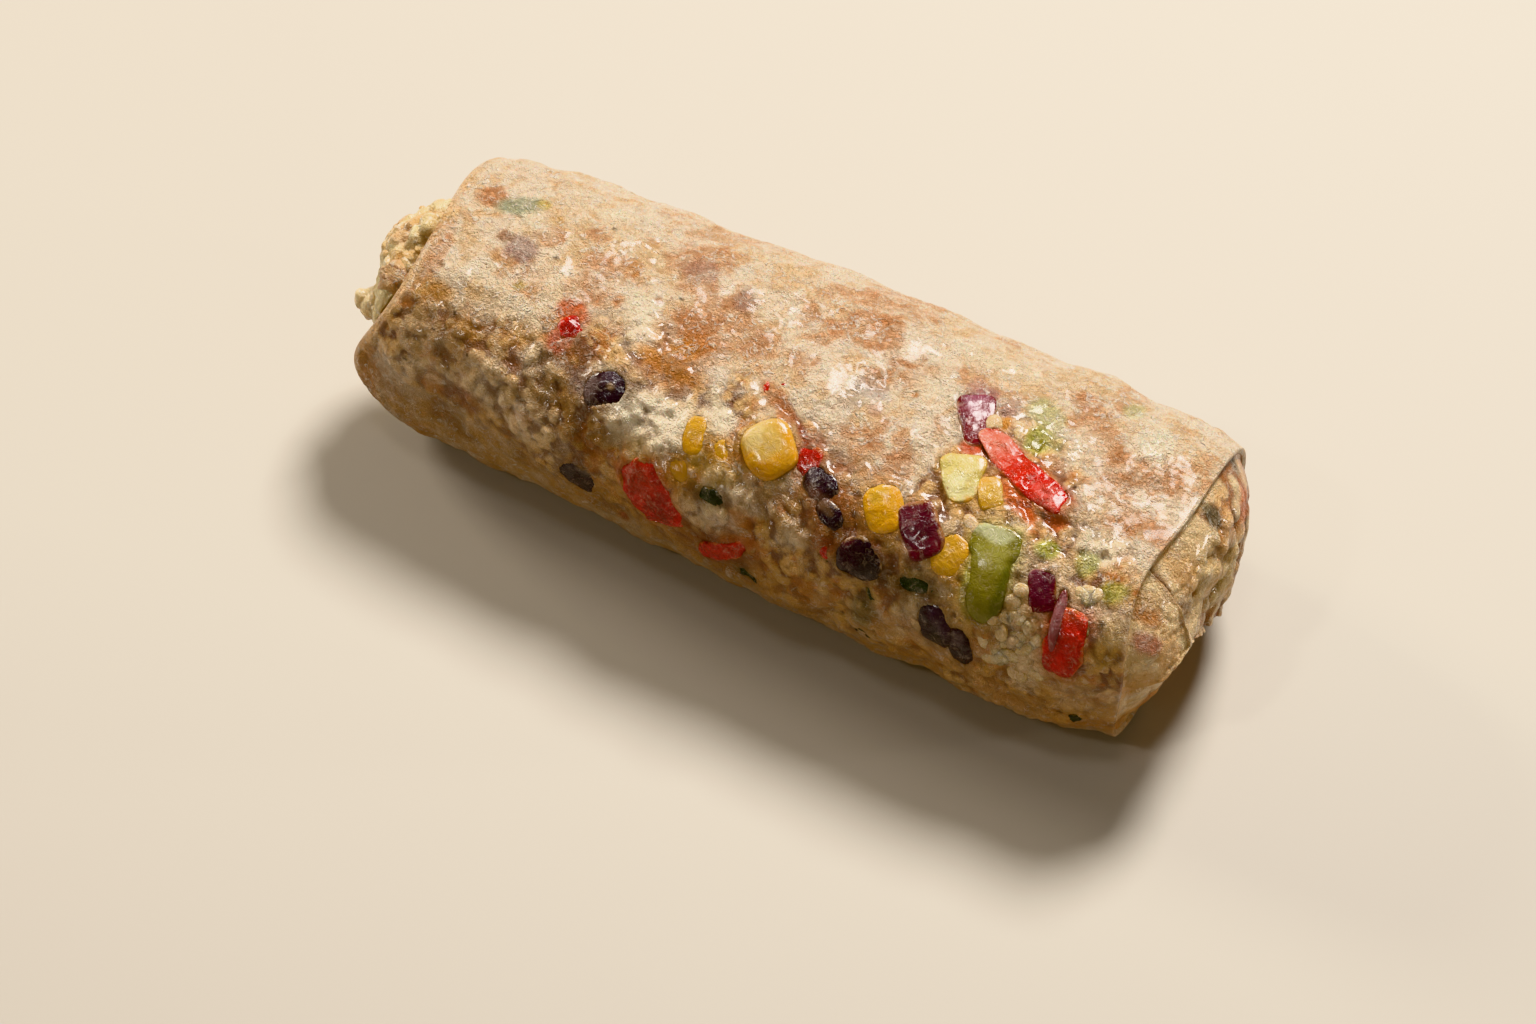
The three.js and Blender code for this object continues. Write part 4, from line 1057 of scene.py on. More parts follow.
def skin_relief(along, around, points):
    """How far the skin stands off its plain shape, and the masks that colour it."""
    sizes = bpy.context.scene.burrito_sizes
    wobble = value_noise(points, 5, 3) + 0.5 * value_noise(points, 2, 4)
    damp = damp_mask(along, around, wobble)
    pale = patches(along, around, wobble, BLISTERED)
    cloudy = smoothstep(value_noise(points, 9, 13) + 0.25 * wobble, 0.12, 0.5)
    pale = np.maximum(pale, 0.35 * cloudy * damp)
    toast = patches(along, around, wobble, TOASTED)
    toast = np.maximum(toast, 0.55 * smoothstep(value_noise(points, 9, 8), 0.1, 0.6)) * (1 - 0.8 * damp)
    grains = scatter_grains(3400, 5, (-92, 90), (-80, 125), (4.2, 2.7))
    grain = grain_field(along, around, grains)
    blob = grain_field(along, around, scatter_grains(1900, 6, (-92, 90), (-60, 120), (3.3, 2.7)))
    lumps = 0.45 * value_noise(points, 7, 9) + 0.36 * value_noise(points, 3.4, 10)
    creases = 1 - 2 * np.abs(value_noise(points * (1, 1.6, 1.6), 1.9, 11))
    fine = value_noise(points, 1.2, 12)
    height = lumps + creases * sizes.crinkle / MM + 0.07 * fine
    thin = np.maximum(damp, 0.6 * pale)
    height += grain * (sizes.dry_bump + (sizes.grain_bump - sizes.dry_bump) * thin) / MM
    height += 0.25 * blob * smoothstep(np.degrees(around), 60, 90) * (1 - damp)
    height += pale * sizes.blister / MM * 0.4
    lumpy = 0.14 + 0.26 * smoothstep(along, -60, -40) + 0.5 * pale + 0.3 * smoothstep(along, 20, 45)
    height += blob * (0.25 * (1 - damp) * pale + damp * lumpy)
    grain = np.maximum(0.75 * grain, blob * np.maximum(damp, pale))
    pocket, proud = np.full(along.shape, 99.0), np.zeros(along.shape)
    for _, lobe in all_lobes():
        far = outside_lobe(along, around, lobe)
        proud = np.where(far < pocket, lobe[5], proud)
        pocket = np.minimum(pocket, far)
    pocket = pocket + 0.6 * wobble * smoothstep(pocket, -2.5, 0)
    near = smoothstep(pocket, 0, 2)
    height = height * (0.35 + 0.65 * near)
    rim = (sizes.piece_rim / MM + 0.5 * proud) * bump(np.maximum(pocket, 0), 1.3) * (0.75 + 0.5 * wobble)
    height += rim - (1.9 + proud) * (1 - smoothstep(pocket, -1.7, -0.75))
    for place, side, size, depth in PITS:
        far = patch_distance(along, around, (place, side, size * 2, size * 2, 0))
        height += 0.2 * bump(far - 1.2, 0.4) - depth * (1 - smoothstep(far, 0.3, 1.1))
    speck = np.zeros(along.shape)
    for place, side, size in SPECKS:
        far = patch_distance(along, around, (place, side, size * 1.6, size * 1.3, 0))
        speck = np.maximum(speck, 1 - smoothstep(far, 0.6, 1.2))
    masks = {"damp": damp, "pale": pale, "toast": toast, "grain": grain, "speck": 0.85 * speck}
    return height, masks, wobble


def skin_tint(along, around, wobble):
    """Stains of the skin, with what bleeds out of the pieces."""
    colour = np.zeros(along.shape + (4,))
    for kind, lobe in all_lobes():
        rgb, spread = BLEEDS[kind]
        far = outside_lobe(along, around, lobe)
        share = 0.62 * np.exp(-np.maximum(far, 0) / spread) * (0.75 + 0.45 * wobble) * (far < 6)
        colour = over(colour, rgb, np.clip(share, 0, 0.9))
    side = np.degrees(half_turn(around))
    # Painted shade: a browner band along the lower front and underside.
    painted_low_shade = smoothstep(side, 70, 96) * (1 - smoothstep(side, 140, 170))
    colour = over(colour, (182, 130, 72), np.clip(0.5 + 0.3 * wobble, 0, 0.8) * painted_low_shade)
    baked = 1 - smoothstep(along - end_lip(around), 1.5, 4)
    colour = over(colour, (230, 186, 134), 0.6 * baked)
    stained = blend_stains(along, around, wobble, STAINS)
    below = colour[..., 3] * (1 - stained[..., 3])
    alpha = stained[..., 3] + below
    mixed = stained[..., :3] * stained[..., 3:] + colour[..., :3] * below[..., None]
    return np.concatenate([mixed / np.maximum(alpha, 1e-6)[..., None], alpha[..., None]], axis=-1)


def make_wrap():
    along, around, offset, free = wrap_grid()
    plain = skin_point(along, around, offset)
    height, masks, wobble = skin_relief(along, around, plain)
    underside = smoothstep(plain[..., 2], 0.3, 5)
    calm = 0.1 + 0.9 * smoothstep(end_rim(around) - along, 0, 6)
    lift = height * free * calm * (0.15 + 0.85 * underside)
    points = skin_point(along, around, offset) + skin_normal(along, around) * lift[..., None]
    points[..., 2] = np.maximum(points[..., 2], 0)
    points[0] = points[0].mean(axis=0)
    points[-1] = points[-1].mean(axis=0)
    points[:, -1] = points[:, 0]
    tint = skin_tint(along, around, wobble)
    rows, columns = along.shape
    bm, column, row = grid_mesh(columns - 1, rows - 1)
    move_vertices(bm.verts, points[row, column])
    painted = {name: values[row, column] for name, values in {**masks, "tint": tint}.items()}
    return finish_piece("wrap", bm, tortilla_material(), ["tortilla"], painted)


# ---- The folded end ----

FLAPS = (  # name, from, to, rise
    ("upper", -131, -2, 0.8),
    ("lower", 92, 233, -1.5),
    ("front", -10, 101, 1.8),
)


def flap_edge(bearing):
    """How far from the flaps' meeting point the rim is, in each direction."""
    around = np.linspace(-math.pi, math.pi, 721)
    rim = point_at(RIM_ALONG, around, body_radius(RIM_ALONG, around) * 0.965)
    toward = np.arctan2(FLAPS_MEET[0] - rim[:, 1], rim[:, 2] - FLAPS_MEET[1])
    reach = np.hypot(rim[:, 1] - FLAPS_MEET[0], rim[:, 2] - FLAPS_MEET[1])
    order = np.argsort(toward)
    return np.interp(half_turn(bearing), toward[order], reach[order], period=2 * math.pi)


def dome_along(y, z, rise):
    """How far along the roll the folded end reaches at a place on it."""
    around = np.arctan2(-y, z - MIDDLE_HEIGHT)
    share = np.hypot(y, z - MIDDLE_HEIGHT) / body_radius(RIM_ALONG, around)
    share = np.minimum(share, 0.97)
    rim = end_rim(around) - RIM_RECESS
    level = RIM_ALONG - RIM_RECESS + (rim - RIM_ALONG + RIM_RECESS) * share / DOME_EDGE
    fades = np.clip((DOME_EDGE + 0.03 - share) / 0.1, 0, 1)
    bulge = DOME_RISE * (1 - np.minimum(1, share / DOME_EDGE) ** DOME_FULLNESS)
    return level + bulge + rise * fades


def make_folded_end():
    bm = bmesh.new()
    for number, (_, start, end, rise) in enumerate(FLAPS):
        add_flap(bm, number, math.radians(start), math.radians(end), rise)
    piece = finish_piece("folded_end", bm, tortilla_material(), ["tortilla"])
    paint_flaps(piece.data)
    return piece


FLAP_COLUMNS = 110
FLAP_ROWS = 76
FLAP_THICKNESS = 1.3


def add_flap(bm, number, start, end, rise):
    flap, column, row = grid_mesh(FLAP_COLUMNS, FLAP_ROWS)
    share = np.linspace(0.0, 1, FLAP_ROWS + 1) ** 0.8
    bearings = np.linspace(start, end, FLAP_COLUMNS + 1)
    bearing, out = bearings[column], share[row]
    wavy = 0.03 * np.sin(out * 9 + number) * (np.abs(2 * column / FLAP_COLUMNS - 1) ** 4) * (1 - out)
    bearing = bearing + wavy
    reach = flap_edge(bearing) * out
    y = FLAPS_MEET[0] - reach * np.sin(bearing)
    z = FLAPS_MEET[1] + reach * np.cos(bearing)
    flat = np.stack([np.full(y.shape, 90.0 + 7 * number), y, z], axis=-1)
    grain = lumps_over(flat, 260, 40 + number, (1.5, 2.6))
    lumps = 0.5 * value_noise(flat, 6, 20) + 0.3 * value_noise(flat, 3, 21)
    low = 0.5 + 0.5 * smoothstep(z, 8, 24)
    edge = np.minimum(column, FLAP_COLUMNS - column) / FLAP_COLUMNS
    lip = 0.6 * bump(edge, 0.02)
    settle = smoothstep(1 - out, 0, 0.42)
    x = dome_along(y, z, rise) + (1.7 * grain * low - 0.5 + lumps) * settle + lip * settle
    move_vertices(flap.verts, np.stack([x, y, z], axis=-1))
    # Mask for a painted shadow: beside the front flap's edges on the flaps below, and along the lower flap's
    # side edges.
    under = np.zeros(y.shape)
    if number < 2:
        _, front_start, front_end, _ = FLAPS[2]
        for side in (front_start, front_end):
            apart = np.abs(half_turn(bearing - math.radians(side))) * reach
            under = np.maximum(under, bump(apart, 1.6))
    if number == 1:
        under = np.maximum(under, bump(edge * reach * (end - start), 1.8))
    for name, values in (("grain", grain), ("crease_shadow", under)):
        layer = flap.verts.layers.float.new(name)
        for vertex, value in zip(flap.verts, values.tolist()):
            vertex[layer] = value
    bmesh.ops.remove_doubles(flap, verts=flap.verts, dist=2e-6)
    bmesh.ops.recalc_face_normals(flap, faces=flap.faces)
    outward = sum(face.normal.x for face in flap.faces)
    if outward < 0:
        bmesh.ops.reverse_faces(flap, faces=flap.faces)
    bmesh.ops.solidify(flap, geom=flap.faces[:], thickness=FLAP_THICKNESS * MM)
    mesh = bpy.data.meshes.new("flap")
    flap.to_mesh(mesh)
    flap.free()
    bm.from_mesh(mesh)
    bpy.data.meshes.remove(mesh)


FLAP_STAINS = (  # y, z, size, colour, strength: on the folded end
    (-23, 40, 2.6, (190, 104, 92), 0.7), (-20, 43, 2.5, (196, 120, 60), 0.7),
    (17, 38, 4, (204, 96, 40), 0.85), (21, 33, 3, (150, 78, 34), 0.8), (22, 43, 2, (60, 58, 40), 0.8),
    (6, 46, 2.4, (52, 56, 44), 0.85), (10, 8, 9, (176, 112, 50), 0.6), (-4, 4, 8, (200, 128, 54), 0.7),
    (-12, 16, 6, (206, 132, 52), 0.6), (-22, 12, 8, (196, 122, 48), 0.7), (-12, 38, 4, (120, 70, 34), 0.6),
    (-19, 46, 4, (150, 96, 50), 0.5), (4, 30, 8, (226, 200, 140), 0.5), (-2, 40, 7, (220, 192, 132), 0.5),
    (12, 24, 6, (186, 124, 64), 0.5), (-26, 30, 5, (196, 136, 70), 0.6),
)


def paint_flaps(mesh):
    points = mesh_points(mesh)
    y, z = points[:, 1], points[:, 2]
    wobble = value_noise(points, 5, 23) + 0.5 * value_noise(points, 2, 24)
    grain, crease_shadow = stored(mesh, "grain"), stored(mesh, "crease_shadow")
    # Painted shade: darker brown between the rice lumps.
    hollow_shade = 1 - smoothstep(grain + 0.12 * wobble, 0.05, 0.5)
    tint = over(np.zeros(y.shape + (4,)), (160, 98, 46), 0.85 * hollow_shade)
    tint = over(tint, (238, 212, 166), 0.7 * smoothstep(grain + 0.2 * wobble, 0.35, 0.8))
    tint = over(tint, (220, 158, 88), 0.5 * smoothstep(value_noise(points, 7, 25) + 0.2 * wobble, 0.0, 0.5))
    # Painted shadow: dark brown beside the front flap's edges.
    tint = over(tint, (104, 58, 26), 0.85 * smoothstep(crease_shadow, 0.3, 0.9))
    for cy, cz, size, rgb, strength in FLAP_STAINS:
        far = np.hypot(y - cy, z - cz) / size
        tint = over(tint, rgb, strength * (1 - smoothstep(far + 0.3 * wobble, 0.4, 1.2)))
    lower = 1 - smoothstep(z, 10, 26)
    store(mesh, "damp", np.clip(0.8 + 0.3 * wobble + 0.3 * lower, 0, 1))
    store(mesh, "toast", np.clip(0.45 + 0.5 * wobble, 0, 1))
    store(mesh, "pale", np.clip(0.4 * wobble - 0.1, 0, 1))
    store(mesh, "speck", np.zeros(y.shape))
    store(mesh, "tint", tint)


# ---- The open end ----

def heap_reach(y, z):
    apart = np.hypot((y - LUMP["y"]) / LUMP["half_width"], (z - LUMP["z"]) / LUMP["half_height"])
    around = np.arctan2(-y, z - MIDDLE_HEIGHT)
    share = np.minimum(1, np.hypot(y, z - MIDDLE_HEIGHT) / body_radius(LIP_ALONG, around))
    face = LIP_ALONG + HEAP_RECESS + (end_lip(around) - LIP_ALONG) * share**HEAP_FOLLOWS_LIP
    beside = np.hypot((y - TUCK["centre"][1] - 1) / 5.5, (z - TUCK["centre"][2]) / 9)
    return face - LUMP["rise"] * np.exp(-(apart ** LUMP["bluntness"])) * (1 - 0.2 * bump(beside, 1))


HEAP_STAINS = (  # along, y, z, size, colour, strength: on the heap at the open end
    (-88.5, 3, 33, 2.8, (206, 206, 136), 0.5), (-89, 2, 32, 1.6, (96, 116, 36), 0.95),
    (-90, -4, 32, 3, (244, 230, 196), 0.8), (-84.3, 2.8, 43.3, 2.6, (240, 216, 120), 0.7),
    (-90, -6, 38, 1.9, (216, 124, 52), 0.7), (-90, -3, 44, 3, (214, 160, 110), 0.6),
    (-86, -8, 47, 3, (206, 146, 90), 0.6), (-94, -12, 38, 3.5, (176, 128, 84), 0.6),
    (-93, -13, 42, 1.0, (74, 42, 26), 0.9), (-84, 3, 50, 4, (236, 208, 160), 0.6),
    (-92, 4, 36, 5, (206, 160, 112), 0.5), (-82, 12, 22, 5, (190, 50, 28), 0.6),
    (-80, -14, 16, 4, (50, 28, 30), 0.8), (-80, 16, 34, 4, (214, 156, 52), 0.7),
    (-78, 0, 14, 5, (140, 144, 50), 0.6), (-84, -20, 22, 4, (206, 150, 60), 0.5),
    (-78, 9, 11, 3.4, (50, 28, 30), 0.8), (-78, -6, 8, 3, (196, 60, 34), 0.6),
    (-80, 20, 22, 3.4, (206, 176, 130), 0.6),
)
HEAP_RINGS = 110
HEAP_SKIRT = 22  # rings from the edge of the face back to the lip
HEAP_STEPS = 170
HEAP_DEPTH = 30
HEAP_WIDEST = 66  # further out than any point of the face
HEAP_PROBES = 330  # steps of the search for the edge of the face


def heap_grid():
    """Rings over the heap, evenly spaced along its face, then back into the roll and closed."""
    bearing = 2 * math.pi * np.arange(HEAP_STEPS + 1) / HEAP_STEPS
    out = np.linspace(0, HEAP_WIDEST, HEAP_PROBES + 1)[:, None]
    y = LUMP["y"] - out * np.sin(bearing)
    z = LUMP["z"] + out * np.cos(bearing)
    around = np.arctan2(-y, z - MIDDLE_HEIGHT)
    inside = np.hypot(y, z - MIDDLE_HEIGHT) < body_radius(LIP_ALONG, around) - WALL - 0.25
    x = heap_reach(y, z)
    along_face = np.hypot(np.diff(x, axis=0), HEAP_WIDEST / HEAP_PROBES) * inside[1:]
    travelled = np.concatenate([np.zeros((1, HEAP_STEPS + 1)), np.cumsum(along_face, axis=0)])
    share = np.linspace(0, 1, HEAP_RINGS + 1)
    radius = np.stack([
        np.interp(share * column[-1], column[: count + 1], out[: count + 1, 0])
        for column, count in zip(travelled.T, inside.sum(axis=0) - 1)
    ], axis=-1)
    y, z = LUMP["y"] - radius * np.sin(bearing), LUMP["z"] + radius * np.cos(bearing)
    face = np.stack([heap_reach(y, z), y, z], axis=-1)
    around = around_of(face[-1])
    lip = end_lip(around)
    edge = np.hypot(face[-1, :, 1], face[-1, :, 2] - MIDDLE_HEIGHT)
    level = smoothstep(np.degrees(around), -16, -3) * smoothstep(-np.degrees(around), -28, -12)
    end = lip - 0.4 + 1.2 * level
    rings = [face]
    for back in np.linspace(0, 1, HEAP_SKIRT + 1)[1:]:
        place = face[-1, :, 0] + np.maximum(0, end - face[-1, :, 0]) * back
        radius = edge + (WALL - 0.7) * level * math.sin(math.pi / 2 * back) ** 0.7
        rings.append(point_at(place, around, radius)[None])
    inner = point_at(lip + 1.2, around, body_radius(lip, around) - WALL - 0.3)
    deep = inner + np.array((HEAP_DEPTH, 0, 0))
    middle = np.broadcast_to(deep.mean(axis=0), deep.shape)
    return np.concatenate(rings + [inner[None], deep[None], middle[None]])


def make_heap():
    sizes = bpy.context.scene.burrito_sizes
    grid = heap_grid()
    bm, column, row = grid_mesh(HEAP_STEPS, len(grid) - 1)
    points = grid[row, column]
    move_vertices(bm.verts, points)
    painted = {"ring": row.astype(float)}
    piece = finish_piece("filling_at_open_end", bm, rice_material(), ["filling"], painted)
    press_lumps(piece.data, 620, 72, (1.1, 1.8), 1.7, HEAP_RINGS + HEAP_SKIRT)
    bm = bmesh.new()
    bm.from_mesh(piece.data)
    add_heap_rice(bm, sizes)
    bm.to_mesh(piece.data)
    bm.free()
    piece.data.shade_smooth()
    add_crumb(piece.data)
    paint_heap(piece.data)
    return piece


def press_lumps(mesh, count, seed, sizes, height, last_ring):
    """Raises rice lumps along the normals of the rings up to the last, and keeps their heights."""
    points = mesh_points(mesh)
    normals = np.array([vertex.normal for vertex in mesh.vertices])
    rings = stored(mesh, "ring")
    lumps = lumps_over(points, count, seed, sizes)
    uneven = 0.3 * value_noise(points, 5, 31) + 0.25 * value_noise(points, 1.5, 32)
    lift = (height * lumps + uneven) * smoothstep(last_ring + 0.5 - rings, 0, 4)
    lift = lift * (1 - 0.75 * smoothstep(points[:, 1], 2, 9))
    store(mesh, "lump", lumps)
    moved = points + normals * lift[:, None]
    mesh.vertices.foreach_set("co", (moved * MM).astype(np.float32).ravel())
    mesh.update()


def add_crumb(mesh):
    """The crumb of rice that sticks out at the front of the heap."""
    bm = bmesh.new()
    middle, tip = Vector(CRUMB) * MM, Vector(CRUMB_TIP)
    turn = tip.to_track_quat("X", "Z").to_matrix().to_4x4()
    scale = Matrix.Diagonal([size * MM for size in CRUMB_SIZE] + [1])
    place = Matrix.Translation(middle) @ turn @ scale
    bmesh.ops.create_icosphere(bm, subdivisions=5, radius=0.5, matrix=place)
    bm.normal_update()
    points = np.array([vertex.co for vertex in bm.verts]) / MM
    normals = np.array([vertex.normal for vertex in bm.verts])
    lumps = lumps_over(points, 30, 93, (1.3, 2.1))
    uneven = 0.5 * value_noise(points, 2.6, 94) + 0.15 * value_noise(points, 1, 95)
    move_vertices(bm.verts, points + normals * (1.7 * lumps + uneven - 1)[:, None])
    bm.from_mesh(mesh)
    bm.to_mesh(mesh)
    bm.free()
    mesh.shade_smooth()


def paint_heap(mesh):
    points = mesh_points(mesh)
    x, y, z = points.T
    wobble = value_noise(points, 3, 33) + 0.4 * value_noise(points, 1.4, 34)
    face = heap_reach(y, z)
    on_crumb = (x < CRUMB[0] + 4) & (np.hypot(y - CRUMB[1], z - CRUMB[2]) < 7)
    tint = over(np.zeros(y.shape + (4,)), (248, 232, 178), np.clip(0.75 + 0.3 * wobble, 0, 0.95))
    brown = np.clip(smoothstep(x - face, -0.6, 0.5) * 0.35 + 0.25 * wobble, 0, 0.5)
    tint = over(tint, (186, 128, 72), brown * ~on_crumb)
    lump = stored(mesh, "lump")
    # Painted shade: darker golden between the rice lumps.
    hollow_shade = (1 - smoothstep(lump + 0.1 * wobble, 0.1, 0.5)) * (lump >= 0)
    tint = over(tint, (212, 160, 98), 0.55 * hollow_shade * ~on_crumb)
    broad = value_noise(points, 4.5, 35)
    tint = over(tint, (224, 170, 104), 0.5 * smoothstep(broad + 0.2 * wobble, 0.15, 0.5) * ~on_crumb)
    tint = over(tint, (252, 238, 198), 0.6 * smoothstep(-broad + 0.2 * wobble, 0.05, 0.5) * ~on_crumb)
    for place, cy, cz, size, rgb, strength in HEAP_STAINS:
        far = np.sqrt((x - place) ** 2 + (y - cy) ** 2 + (z - cz) ** 2) / size
        tint = over(tint, rgb, strength * (1 - smoothstep(far + 0.3 * wobble, 0.5, 1.25)) * ~on_crumb)
    low = smoothstep(CRUMB[2] - z, -1, 3) * on_crumb
    tint = over(tint, (255, 228, 178), 0.95 * on_crumb)
    tint = over(tint, (240, 188, 116), 0.6 * low)
    store(mesh, "tint", tint)


def add_grain(bm, centre, direction, size, fineness=2):
    """One grain of rice, in millimetres, along a direction."""
    turn = Vector(direction).to_track_quat("X", "Z").to_matrix().to_4x4()
    scale = Matrix.Diagonal((*(Vector(size) * MM), 1))
    place = Matrix.Translation(Vector(centre) * MM)
    made = bmesh.ops.create_icosphere(bm, subdivisions=fineness, radius=0.5, matrix=place @ turn @ scale)
    return made["verts"]


def add_heap_rice(bm, sizes):
    """Whole grains that lie over the lump and the face of the heap."""
    draw = np.random.default_rng(12)
    length, width = sizes.grain_length / MM, sizes.grain_width / MM
    for count in range(sizes.heap_grains):
        spread = math.sqrt((count + 0.5) / sizes.heap_grains)
        bearing = count * 2.4
        y, z = LUMP["y"] + 25 * spread * math.cos(bearing), 29 + 21 * spread * math.sin(bearing)
        around = math.atan2(-y, z - MIDDLE_HEIGHT)
        room = body_radius(np.array(float(LIP_ALONG)), np.array(around)) - WALL - 3.4
        if math.hypot(y, z - MIDDLE_HEIGHT) > room:
            continue
        lean = draw.uniform(0, math.pi)
        direction = (0.35 * draw.uniform(-1, 1), math.cos(lean), math.sin(lean))
        size = (length * draw.uniform(0.7, 1), width * draw.uniform(0.9, 1.2), width * draw.uniform(0.8, 1))
        x = float(heap_reach(np.array(y), np.array(z))) - 0.2
        add_grain(bm, (x, y, z), direction, size)


def make_tuck():
    """The fold of tortilla tucked in at the front of the lump."""
    bm = bmesh.new()
    bmesh.ops.create_icosphere(bm, subdivisions=5, radius=1)
    sphere = np.array([vertex.co for vertex in bm.verts])
    points = sphere * TUCK["half_sizes"]
    pleats = 0.32 * np.sin(points[:, 1] * 1.9 + 0.3 * points[:, 2] + 1.2 * value_noise(points, 5, 50))
    points = points + sphere * (pleats + 0.35 * value_noise(points, 3, 51) - 0.3)[:, None]
    lean = math.radians(TUCK["lean"])
    y = points[:, 1] * math.cos(lean) - points[:, 2] * math.sin(lean)
    z = points[:, 1] * math.sin(lean) + points[:, 2] * math.cos(lean)
    placed = np.stack([points[:, 0], y, z], axis=-1) + TUCK["centre"]
    inside = body_radius(placed[:, 0], around_of(placed)) - 1.6
    radius = np.hypot(placed[:, 1], placed[:, 2] - MIDDLE_HEIGHT)
    held = np.minimum(1, inside / radius)
    placed[:, 1] *= held
    placed[:, 2] = MIDDLE_HEIGHT + (placed[:, 2] - MIDDLE_HEIGHT) * held
    move_vertices(bm.verts, placed)
    piece = finish_piece("tucked_fold", bm, tortilla_material(), ["tortilla"])
    wobble = value_noise(placed, 3, 52)
    # Painted shade: the pleats' creases are darkened.
    crease_shadow = smoothstep(-pleats, 0.05, 0.35)
    tint = over(np.zeros((len(placed), 4)), (236, 192, 140), np.clip(0.9 + 0.2 * wobble, 0, 1))
    tint = over(tint, (176, 114, 68), 0.7 * crease_shadow)
    speck = np.linalg.norm(placed - TUCK_SPECK, axis=1)
    tint = over(tint, (60, 34, 24), 0.9 * (1 - smoothstep(speck, 0.9, 1.6)))
    for name in ("damp", "pale", "grain", "speck"):
        store(piece.data, name, np.zeros(len(placed)))
    store(piece.data, "toast", np.full(len(placed), 0.3))
    store(piece.data, "tint", tint)
    return piece


# ---- Rice and pieces in the skin ----

def lobe_vertices(bm, lobe, cuts=19, rough=0.0, seed=0, fineness=4):
    """Adds one lobe of a piece, draped on the skin, and gives its vertices and their unit places."""
    place, side, turn, length, width, proud, extra = lobe
    square, wedge, bend, wave, depth = (
        extra.get(key, PLAIN_LOBE[key]) for key in ("square", "wedge", "bend", "wave", "depth")
    )
    if square < 3:
        made = bmesh.ops.create_icosphere(bm, subdivisions=fineness, radius=1)["verts"]
    else:
        made = bmesh.ops.create_cube(bm, size=2)["verts"]
        edges = list({edge for vertex in made for edge in vertex.link_edges})
        bmesh.ops.subdivide_edges(bm, edges=edges, cuts=int(cuts * max(0.5, length / 11)), use_grid_fill=True)
        made = [vertex for vertex in bm.verts if not vertex.tag]
    unit = np.array([vertex.co for vertex in made], float)
    unit /= (np.abs(unit) ** square).sum(axis=1, keepdims=True) ** (1 / square)
    lengthwise = unit[:, 0] * length / 2
    widthwise = bend * unit[:, 0] ** 2 - unit[:, 1] * width / 2 * (1 + wedge * unit[:, 0])
    thick = np.where(unit[:, 2] > 0, proud, depth)
    spot = np.stack([lengthwise, widthwise, unit[:, 2] * thick], axis=-1)
    torn = np.stack([value_noise(spot + seed * 5.3 + side, 3.2, 62) for side in (0, 50)], axis=-1)
    ragged = rough * (width / 8) * torn
    lengthwise, widthwise = lengthwise + 2.2 * ragged[:, 0], widthwise + 2.2 * ragged[:, 1]
    folds = 1 - 3 * np.abs(value_noise(spot + seed * 2.7, 2.9, 65))
    knobs, pimples = value_noise(spot + seed * 7.1, 2.6, 60), value_noise(spot + seed * 3.3, 1.1, 61)
    bumps = rough * (knobs + 0.5 * pimples + 0.5 * folds)
    ripple = wave * np.sin(2.5 * unit[:, 0] + 1.5 * unit[:, 1])
    flat_topped = np.sign(unit[:, 2]) * (1 - (1 - np.abs(unit[:, 2])) ** TOP_FLATNESS)
    over_skin = flat_topped * thick + ripple + bumps * np.clip(unit[:, 2] + 0.4, 0, 1)
    cosine, sine = math.cos(math.radians(turn)), math.sin(math.radians(turn))
    forwards = lengthwise * cosine - widthwise * sine
    down = lengthwise * sine + widthwise * cosine
    points = drape(place, side, forwards, down, over_skin)
    move_vertices(made, points)
    for vertex in made:
        vertex.tag = True
    return made, unit


EDGE_WIDTH = 1.7  # how far in from its outline the skin can still cover a piece

